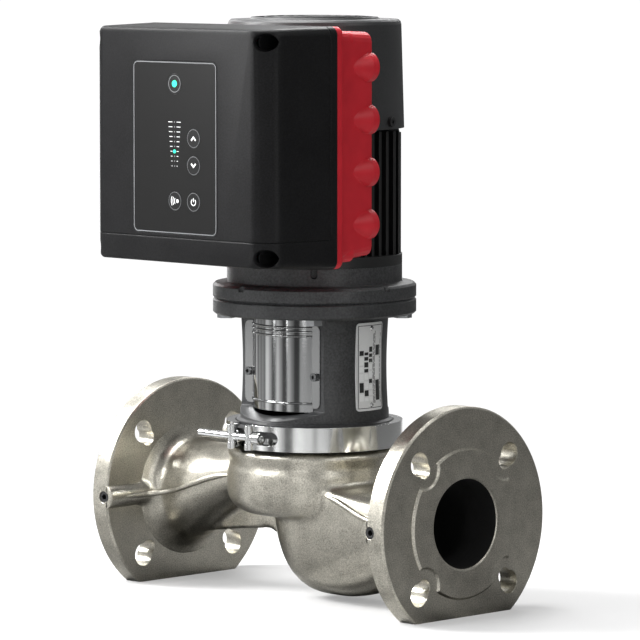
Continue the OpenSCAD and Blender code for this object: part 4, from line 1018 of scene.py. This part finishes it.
# %% The two flanges, cut from the CAD housing
def beyond_plane(mesh, side):
    """Keeps what lies outside the flange's back face, and closes the cut."""
    form = bmesh.new()
    form.from_mesh(mesh)
    bmesh.ops.remove_doubles(form, verts=form.verts, dist=2e-6)
    geometry = form.verts[:] + form.edges[:] + form.faces[:]
    cut = bmesh.ops.bisect_plane(
        form, geom=geometry, dist=1e-6, plane_co=at(side * (FLANGE_BACK - 0.05), 0, 0),
        plane_no=(-side, 0, 0), clear_outer=True,
    )
    rim = [e for e in cut["geom_cut"] if isinstance(e, bmesh.types.BMEdge)]
    bmesh.ops.triangle_fill(form, use_beauty=True, edges=rim)
    bmesh.ops.dissolve_limit(form, angle_limit=math.radians(0.6), verts=form.verts, edges=form.edges)
    form.to_mesh(mesh)
    form.free()


def flange_piece(side):
    """A flange with fine rounded edges, and flat shading on its flat faces."""
    name = "flange_suction" if side > 0 else "flange_discharge"
    obj = bpy.data.objects.new(name, nodes["pump_housing"].data.copy())
    bpy.context.scene.collection.objects.link(obj)
    obj.data.name = name
    beyond_plane(obj.data, side)
    soften_edges(obj, 1.1, 40)
    combine(obj, face_cutters(side), "DIFFERENCE")
    smooth_shading(obj.data, 40)
    steady = obj.modifiers.new("steady", "WEIGHTED_NORMAL")
    steady.keep_sharp = True
    bake(obj)
    give_materials(obj, CAST, INSIDE_SHADE)
    # faces in a bore get the near-black painted shade
    for face in obj.data.polygons:
        face.material_index = 1 if in_bore(face) else 0
    return ride_on(obj, "pump", "cast_stainless")


flanges = [flange_piece(1), flange_piece(-1)]
tappings = [tapping(1), tapping(-1)]
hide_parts("pump_housing")
print("flanges and tappings:", [len(o.data.polygons) for o in flanges + tappings])

# %% [markdown]
# ## Parting beads
# Where the two halves of the casting mould met, a thin bead runs along each duct. It follows a
# path, so geometry nodes sweep a circle along it. The bead's thickness is an attribute of the
# path's points, which lets it swell out of the ridge and fade on the duct.


# %% Node groups with named inputs
def node_group(name, **inputs):
    """A geometry node group: the tree, its start's outputs, and the name of each socket."""
    tree = bpy.data.node_groups.new(name, "GeometryNodeTree")
    tree.interface.new_socket("Geometry", in_out="INPUT", socket_type="NodeSocketGeometry")
    sockets = {
        label: tree.interface.new_socket(label, in_out="INPUT", socket_type=kind).identifier
        for label, kind in inputs.items()
    }
    tree.interface.new_socket("Geometry", in_out="OUTPUT", socket_type="NodeSocketGeometry")
    return tree, add(tree, "NodeGroupInput").outputs, sockets


def end_group(tree, geometry, material):
    """The last nodes: instances become real meshes and get their material."""
    real = add(tree, "GeometryNodeRealizeInstances", {"Geometry": geometry})
    dressed = add(tree, "GeometryNodeSetMaterial", {"Geometry": real.outputs[0], "Material": material})
    add(tree, "NodeGroupOutput", {"Geometry": dressed.outputs[0]})


def run_group(name, points, edges, attribute, values, group, **inputs):
    """Runs a node group on points that carry one attribute, and keeps the plain mesh."""
    mesh = bpy.data.meshes.new(name)
    mesh.from_pydata([at(*p) for p in points], edges, [])
    mesh.attributes.new(attribute, "FLOAT", "POINT").data.foreach_set("value", values)
    obj = bpy.data.objects.new(name, mesh)
    bpy.context.scene.collection.objects.link(obj)
    tree, sockets = group
    grow = obj.modifiers.new("grow", "NODES")
    grow.node_group = tree
    for label, value in inputs.items():
        grow[sockets[label]] = value
    return bake(obj)


print("helpers: node_group, end_group, run_group")


# %% A circle swept along a path
def sweep_group():
    """Sweeps a circle along a line of edges, as thick as the attribute thick says."""
    tree, start, sockets = node_group("sweep", Material="NodeSocketMaterial", Sides="NodeSocketInt")
    thick = add(tree, "GeometryNodeInputNamedAttribute", {"Name": "thick"}, data_type="FLOAT")
    line = add(tree, "GeometryNodeMeshToCurve", {"Mesh": start["Geometry"]})
    circle = add(tree, "GeometryNodeCurvePrimitiveCircle", {"Resolution": start["Sides"], "Radius": 1.0})
    swept = add(tree, "GeometryNodeCurveToMesh", {
        "Curve": line.outputs[0], "Profile Curve": circle.outputs[0], "Scale": thick.outputs[0],
        "Fill Caps": True,
    })
    end_group(tree, swept.outputs[0], start["Material"])
    return tree, sockets


sweep = sweep_group()
print("the sweep has", len(sweep[0].nodes), "nodes")

# %% The beads along the ducts
BEAD_R = 2.5
BEAD_START = 143.6


def bead_path(shape, xs, sign):
    """From the ridge over the gauge tapping onto the duct and along its widest line."""
    path = [(sign * BEAD_START, -y, PIPE_Z) for y in (76, 72, 68, 64, 60, 56)]
    path.append((sign * (BEAD_START - 0.6), -52.0, PIPE_Z))
    for x in xs[::-1]:
        w, top, middle, low = shape(x, 0)
        path.append((sign * x, -(w + 0.9 + 4.0 * ease((x - 126) / 18)), middle))
    return path


def bead_radius(i, count):
    """The bead swells over its first four points and fades over its last five."""
    return BEAD_R * math.sqrt(max(0.05, min(1, (i + 0.3) / 4, (count - i - 0.7) / 5))) * MM


for label, shape, xs, sign in (
    ("seam_discharge", discharge_shape, np.arange(66, 141, 3.0), -1),
    ("seam_suction", suction_shape, np.arange(58, 141, 3.0), 1),
):
    path = bead_path(shape, xs, sign)
    count = len(path)
    bead = run_group(
        label, path, [(i, i + 1) for i in range(count - 1)], "thick",
        [bead_radius(i, count) for i in range(count)], sweep, Material=CAST, Sides=16,
    )
    smooth_shading(bead.data, 60)
    ride_on(bead, "pump", "cast_stainless")
    print(label, "runs over", count, "points")

# %% [markdown]
# ## Controller cover
# A moulded box whose front face falls back along both sides. Its sections are rounded
# rectangles, so a skin through ten of them gives the slopes and the soft front edges at once.
# The screw pockets, the panel's seat and a thin joint line are cut into it.

# %% The cover's sections
# depth, half width, bottom, top and corner radius of each section, from the joint to the front
COVER_SECTIONS = [
    (-81.9, 108.0, 275.5, 465.3, 7.0), (-110.0, 105.5, 276.8, 464.6, 6.6),
    (-134.0, 103.3, 278.0, 464.0, 6.2), (-138.0, 102.7, 278.2, 463.9, 6.1),
    (-140.6, 101.6, 278.4, 463.8, 6.0), (-143.2, 99.6, 278.5, 463.8, 6.0),
    (-149.3, 93.4, 278.8, 463.6, 5.6), (-151.8, 90.6, 279.0, 463.4, 5.4),
    (-153.3, 88.2, 279.6, 462.8, 5.0), (-154.0, 85.0, 281.2, 461.2, 4.4),
]
COVER_SCREWS = [(x, z) for x in (-95, 95) for z in (287.0, 453.8)]
JOINT_LOW, JOINT_HIGH = 298.7, 299.4


def rounded_section(y, half, low, high, r, corner=6):
    """Points of a rounded rectangle at depth y."""
    points = []
    corners = [(half - r, high - r), (r - half, high - r), (r - half, low + r), (half - r, low + r)]
    for turn, (cx, cz) in enumerate(corners):
        for i in range(corner + 1):
            a = math.radians(90 * turn + 90 * i / corner)
            points.append((cx + r * math.cos(a), y, cz + r * math.sin(a)))
    return points


def cover_form(name, inset=0.0):
    """The cover's outside, or a form that lies this far inside it."""
    return rings_mesh(name, [
        rounded_section(y + inset, half - inset, low + inset, high - inset, r)
        for y, half, low, high, r in COVER_SECTIONS
    ])


print("the cover has", len(COVER_SECTIONS), "sections")


# %% Cutters of the cover
def block(name, low, high):
    """A box between two corners, in millimetres about the shaft."""
    points = [(x, y, z) for x in (low[0], high[0]) for y in (low[1], high[1]) for z in (low[2], high[2])]
    faces = [(0, 1, 3, 2), (4, 6, 7, 5), (0, 4, 5, 1), (2, 3, 7, 6), (0, 2, 6, 4), (1, 5, 7, 3)]
    return outward(new_object(name, points, faces))


def pin(name, r, back, front, steps, x, z):
    """A round bar along Y between two depths."""
    profile = [(0, back), (r, back), (r, front), (0, front)]
    return lathe(name, profile, steps, lambda q, a, h: (x + q * math.cos(a), h, z + q * math.sin(a)))


def line_cutter(low, high, depth):
    """A slab that cuts only this deep into the cover's skin."""
    return combine(block("line", low, high), [cover_form("core", depth)], "DIFFERENCE")


print("the joint line is", round(JOINT_HIGH - JOINT_LOW, 2), "mm wide")


# %% The cover's shell, with a sleeve round each screw
cover = cover_form("front_cover_moulding")
hollow = rings_mesh("hollow", [
    rounded_section(-80.0, 104.8, 278.7, 462.1, 4.0), rounded_section(-138.0, 99.6, 281.4, 460.8, 4.0),
    rounded_section(-150.8, 87.0, 282.2, 460.2, 4.0),
])
combine(cover, [hollow], "DIFFERENCE")
sleeves = [pin("sleeve", 9, -82.4, -147, 48, x, z) for x, z in COVER_SCREWS]
clip = cover_form("clip", 0.4)
for sleeve in sleeves:
    combine(sleeve, [clip], "INTERSECT", keep=True)
bpy.data.objects.remove(clip)
combine(cover, sleeves, "UNION")
print("shell:", len(cover.data.polygons), "faces")

# %% Pockets, the panel's seat and the joint line
seat = [rounded_section(y, 47.9, 302.1, 437.5, 5.1, 8) for y in (-151.9, -156)]
opening = [rounded_section(y, 44.2, 306.2, 433.4, 4.6, 8) for y in (-145, -156)]
cuts = [pin("pocket", 7, -89.5, -160, 64, x, z) for x, z in COVER_SCREWS]
cuts += [pin("screw_hole", 3.3, -81, -92, 32, x, z) for x, z in COVER_SCREWS]
cuts += [
    rings_mesh("seat", seat), rings_mesh("opening", opening),
    line_cutter((-120, -160, JOINT_LOW), (120, -88.0, JOINT_HIGH), 0.5),
    line_cutter((-120, -88.7, JOINT_LOW), (120, -88.0, 480), 0.5),
]
combine(cover, cuts, "DIFFERENCE")
soften_edges(cover, 0.5, 50)
smooth_shading(cover.data, 32)
give_materials(cover, BOX)
ride_on(cover, "pump", "black_plastic", "front_cover")
print("cover:", len(cover.data.polygons), "faces")

# %% [markdown]
# ## Operating panel
# A satin film with a fine pale outline, which is a painted highlight along its edge. Its signs are
# screen prints: arrows, a power sign, a radio sign and a plain scale with one lit step. A grey ring
# near each key's edge is a painted highlight too. A print could be a texture, but real plates of a
# few hundredths of a millimetre stay sharp at any distance and need no image. The signs on the keys
# ride on the keys, so that they sink with them.

# %% Flat prints and painted highlights
PANEL_Y = -154.4


def flat(name, loops, thickness, material, body="pump"):
    """Thin plates on the panel from outlines of (x, z), each a simple polygon."""
    vertices, faces = [], []
    for loop in loops:
        n, start = len(loop), len(vertices)
        vertices += [(x, PANEL_Y, z) for x, z in loop] + [(x, PANEL_Y - thickness, z) for x, z in loop]
        faces += [tuple(start + i for i in range(n)), tuple(start + n + i for i in range(n - 1, -1, -1))]
        faces += [(start + i, start + n + i, start + n + (i + 1) % n, start + (i + 1) % n) for i in range(n)]
    return ride_on(outward(new_object(name, vertices, faces, material)), body, "panel_film")


def arc(x, z, r, start, end, steps):
    """Points of an arc between two angles in degrees."""
    turns = [math.radians(mix(start, end, i / steps)) for i in range(steps + 1)]
    return [(x + r * math.cos(a), z + r * math.sin(a)) for a in turns]


def ring_band(x, z, r, width, start=0, end=360, steps=48):
    """An arc or a full ring as one strip of quads."""
    outer, inner = arc(x, z, r + width / 2, start, end, steps), arc(x, z, r - width / 2, start, end, steps)
    return [[outer[i], outer[i + 1], inner[i + 1], inner[i]] for i in range(steps)]


def disc(x, z, r, steps=40):
    """A round plate as one polygon."""
    return [arc(x, z, r, 0, 360, steps)[:-1]]


print("a full ring has", len(ring_band(0, 0, 5, 1)), "quads")


# %% Signs on the keys, and a painted highlight round each
SIGN_LIFT = 0.06
RIM_LIFT = 0.04
keys = {"up": (21.6, 377.7), "down": (21.6, 356.4), "wireless": (0.2, 328.0), "power": (21.5, 328.0)}


def arrow(x, z, way):
    """An angle that points up or down."""
    outline = [(-3.1, -1.1), (0, 1.9), (3.1, -1.1), (2.1, -2.1), (0, -0.1), (-2.1, -2.1)]
    return [[(x + dx, z + way * dz) for dx, dz in outline]]


def power_sign(x, z):
    """An open ring with a bar in its gap."""
    bar = [(x - 0.4, z), (x + 0.4, z), (x + 0.4, z + 3.1), (x - 0.4, z + 3.1)]
    return ring_band(x, z - 0.2, 2.5, 0.8, 125, 415, 30) + [bar]


def radio_sign(x, z):
    """A dot with three waves to its left."""
    waves = [
        ring_band(x, z, r, 0.7, 180 - half, 180 + half, 12)
        for r, half in ((3.4, 40), (5.2, 35), (7.0, 30))
    ]
    return disc(x, z, 1.5) + [quad for wave in waves for quad in wave]


x, z = keys["wireless"]
signs = {
    "up": arrow(*keys["up"], 1),
    "down": arrow(*keys["down"], -1),
    "power": power_sign(*keys["power"]),
    "wireless": radio_sign(x + 2.9, z),
}
for key, loops in signs.items():
    flat("sign_" + key, loops, SIGN_LIFT, PRINT_WHITE, "key_" + key)
# a grey ring near each key's edge is a painted highlight of its raised edge
for key, (x, z) in keys.items():
    flat("rim_key_" + key, ring_band(x, z, 6.95, 0.35), RIM_LIFT, PRINT_AND_HIGHLIGHT_GREY, "key_" + key)
print(len(signs), "signs and", len(keys), "painted highlight rings on the keys")

# %% [markdown]
# The scale repeats one small tick twenty times and one dot nine times. Geometry nodes put the
# copies on points, and an attribute of the points says how wide each tick is, because the ticks
# grow shorter downwards.


# %% Copies of a small plate on points
def repeat_group():
    """Puts a piece on every point, as wide as the attribute width says."""
    tree, start, sockets = node_group("repeat", Piece="NodeSocketObject", Material="NodeSocketMaterial")
    piece = add(tree, "GeometryNodeObjectInfo", {"Object": start["Piece"]})
    width = add(tree, "GeometryNodeInputNamedAttribute", {"Name": "width"}, data_type="FLOAT")
    scale = add(tree, "ShaderNodeCombineXYZ", {"X": width.outputs[0], "Y": 1.0, "Z": 1.0})
    copies = add(tree, "GeometryNodeInstanceOnPoints", {
        "Points": start["Geometry"], "Instance": piece.outputs["Geometry"], "Scale": scale.outputs[0]
    })
    end_group(tree, copies.outputs[0], start["Material"])
    return tree, sockets


def small_plate(outline):
    """A thin plate at the world's origin, from an outline of (x, z) in millimetres."""
    n = len(outline)
    points = [(x * MM, y * MM, z * MM) for y in (0, -RIM_LIFT) for x, z in outline]
    faces = [tuple(range(n)), tuple(range(2 * n - 1, n - 1, -1))]
    faces += [(i, n + i, n + (i + 1) % n, (i + 1) % n) for i in range(n)]
    mesh = bpy.data.meshes.new("small_plate")
    mesh.from_pydata(points, [], faces)
    obj = outward(bpy.data.objects.new("small_plate", mesh))
    bpy.context.scene.collection.objects.link(obj)
    return obj


repeat = repeat_group()


def repeated(name, outline, points, widths, material):
    """Copies of a small plate on points of the panel, as one mesh."""
    piece = small_plate(outline)
    obj = run_group(name, points, [], "width", widths, repeat, Piece=piece, Material=material)
    bpy.data.objects.remove(piece)
    return ride_on(obj, "pump", "panel_film")


print("the repeat group has", len(repeat[0].nodes), "nodes")

# %% Scale and lamp
LAMP_Z = 420.0
LIT_STEP = 6
steps = [390.0 - 3.84 * i for i in range(10)]
tick = [(-0.5, -0.28), (0.5, -0.28), (0.5, 0.28), (-0.5, 0.28)]
tick_points = [(s * (4.8 - 0.21 * i), PANEL_Y, z) for i, z in enumerate(steps) for s in (-1, 1)]
tick_widths = [4.8 - 0.42 * i for i in range(10) for _ in range(2)]
repeated("scale_ticks", tick, tick_points, tick_widths, PRINT_WHITE)
dot_points = [(0, PANEL_Y, z) for i, z in enumerate(steps) if i != LIT_STEP]
repeated("scale_dots", disc(0, 0, 0.65, 16)[0], dot_points, [1.0] * len(dot_points), PRINT_AND_HIGHLIGHT_GREY)
flat("scale_light", disc(0, steps[LIT_STEP], 1.5, 24), 0.10, GREEN_LIGHT)
flat("lamp_ring", ring_band(0, LAMP_Z, 6.6, 0.5), RIM_LIFT, PRINT_AND_HIGHLIGHT_GREY)
flat("lamp", disc(0, LAMP_Z, 2.7, 32), 0.10, GREEN_LIGHT)
print(len(tick_points), "ticks and", len(dot_points), "dots")


# %% The panel's outline, a painted highlight along the film's edge
def panel_outline(inset):
    """The film's edge, or a line inside it."""
    section = rounded_section(0, 47.5 - inset, 302.5 + inset, 437.1 - inset, 4.7 - inset, 10)
    return [(x, z) for x, y, z in section]


outer_line, inner_line = panel_outline(0), panel_outline(0.8)
n = len(outer_line)
strip = [[outer_line[i], outer_line[(i + 1) % n], inner_line[(i + 1) % n], inner_line[i]] for i in range(n)]
# a grey strip along the film's edge is a painted highlight
flat("panel_outline", strip, 0.05, PRINT_AND_HIGHLIGHT_GREY)
print("outline of", n, "quads")

# %% [markdown]
# ## Nameplate
# A thin plate riveted to the stool, bent to its round. Its print is generic: a border, plain
# boxes and rows of short bars. They are small curved plates that follow the stool's waist, laid
# out by a fixed seed, so that every run prints the same plate.

# %% Curved bars
PLATE_FACE = 0.75
PRINT_THICK = 0.05
STOOL_LOW, STOOL_HIGH = 150.1, 228.05


def stool_radius(z):
    """The stool's outside, which the plate follows: slimmest halfway up."""
    up = min(max((z - STOOL_LOW) / (STOOL_HIGH - STOOL_LOW), 0), 1)
    return mix(60.4, 58.8, math.sin(math.radians(180 * up)))


def plate_bar(a0, a1, z0, z1):
    """A bar between two angles in degrees and two heights, as quads of two degrees at most."""
    steps = max(1, int((a1 - a0) / 2))
    bar = []
    for i in range(steps):
        left, right = math.radians(mix(a0, a1, i / steps)), math.radians(mix(a0, a1, (i + 1) / steps))
        bar.append([(left, z0), (right, z0), (right, z1), (left, z1)])
    return bar


def plate_print(name, bars, material):
    """Prints bars on the plate, each quad as a thin closed tile."""
    vertices, faces = [], []
    for quad in [quad for bar in bars for quad in bar]:
        start = len(vertices)
        for lift in (PLATE_FACE, PLATE_FACE + PRINT_THICK):
            for a, z in quad:
                r = stool_radius(z) + lift
                vertices.append((r * math.cos(a), r * math.sin(a), z))
        faces += [tuple(start + i for i in range(4)), tuple(start + 7 - i for i in range(4))]
        faces += [(start + i, start + 4 + i, start + 4 + (i + 1) % 4, start + (i + 1) % 4) for i in range(4)]
    return ride_on(outward(new_object(name, vertices, faces, material)), "pump", "aluminium")


print("the stool's waist is", round(stool_radius(189), 2), "mm")

# %% The print's layout
LEFT, RIGHT, LOW, HIGH, LINE = -9.6, 18.1, 157.0, 224.0, 0.5
seed = random.Random(11)
border = [
    plate_bar(LEFT, LEFT + LINE, LOW + LINE, HIGH - LINE),
    plate_bar(RIGHT - LINE, RIGHT, LOW + LINE, HIGH - LINE),
    plate_bar(LEFT, RIGHT, LOW, LOW + LINE),
    plate_bar(LEFT, RIGHT, HIGH - LINE, HIGH),
]
fields, marks = [], []
for a0, width, cells in ((-7.6, 4.2, 6), (-2.6, 4.2, 8), (2.4, 3.6, 9), (10.2, 5.0, 3)):
    z = 163.0
    for _ in range(cells):
        height = seed.uniform(0.55, 1.1) * 52.0 / cells
        if z + height > 219:
            break
        (fields if seed.random() < 0.5 else marks).append(plate_bar(a0, a0 + width, z, z + height - 1.3))
        z += height
lines = []
for a in (6.9, 7.9, 8.9, 16.2):
    z = 161.0
    while z < 216:
        length = seed.uniform(1.5, 6.5)
        lines.append(plate_bar(a, a + 0.45, z, min(z + length, 219)))
        z += length + 1.0
plate_print("nameplate_fields", border + fields + lines, PRINT_BLACK)
plate_print("nameplate_boxes", marks, PRINT_WHITE)
print("nameplate printed:", len(fields) + len(marks), "boxes and", len(lines), "bars")

# %% Close
print("scene built")
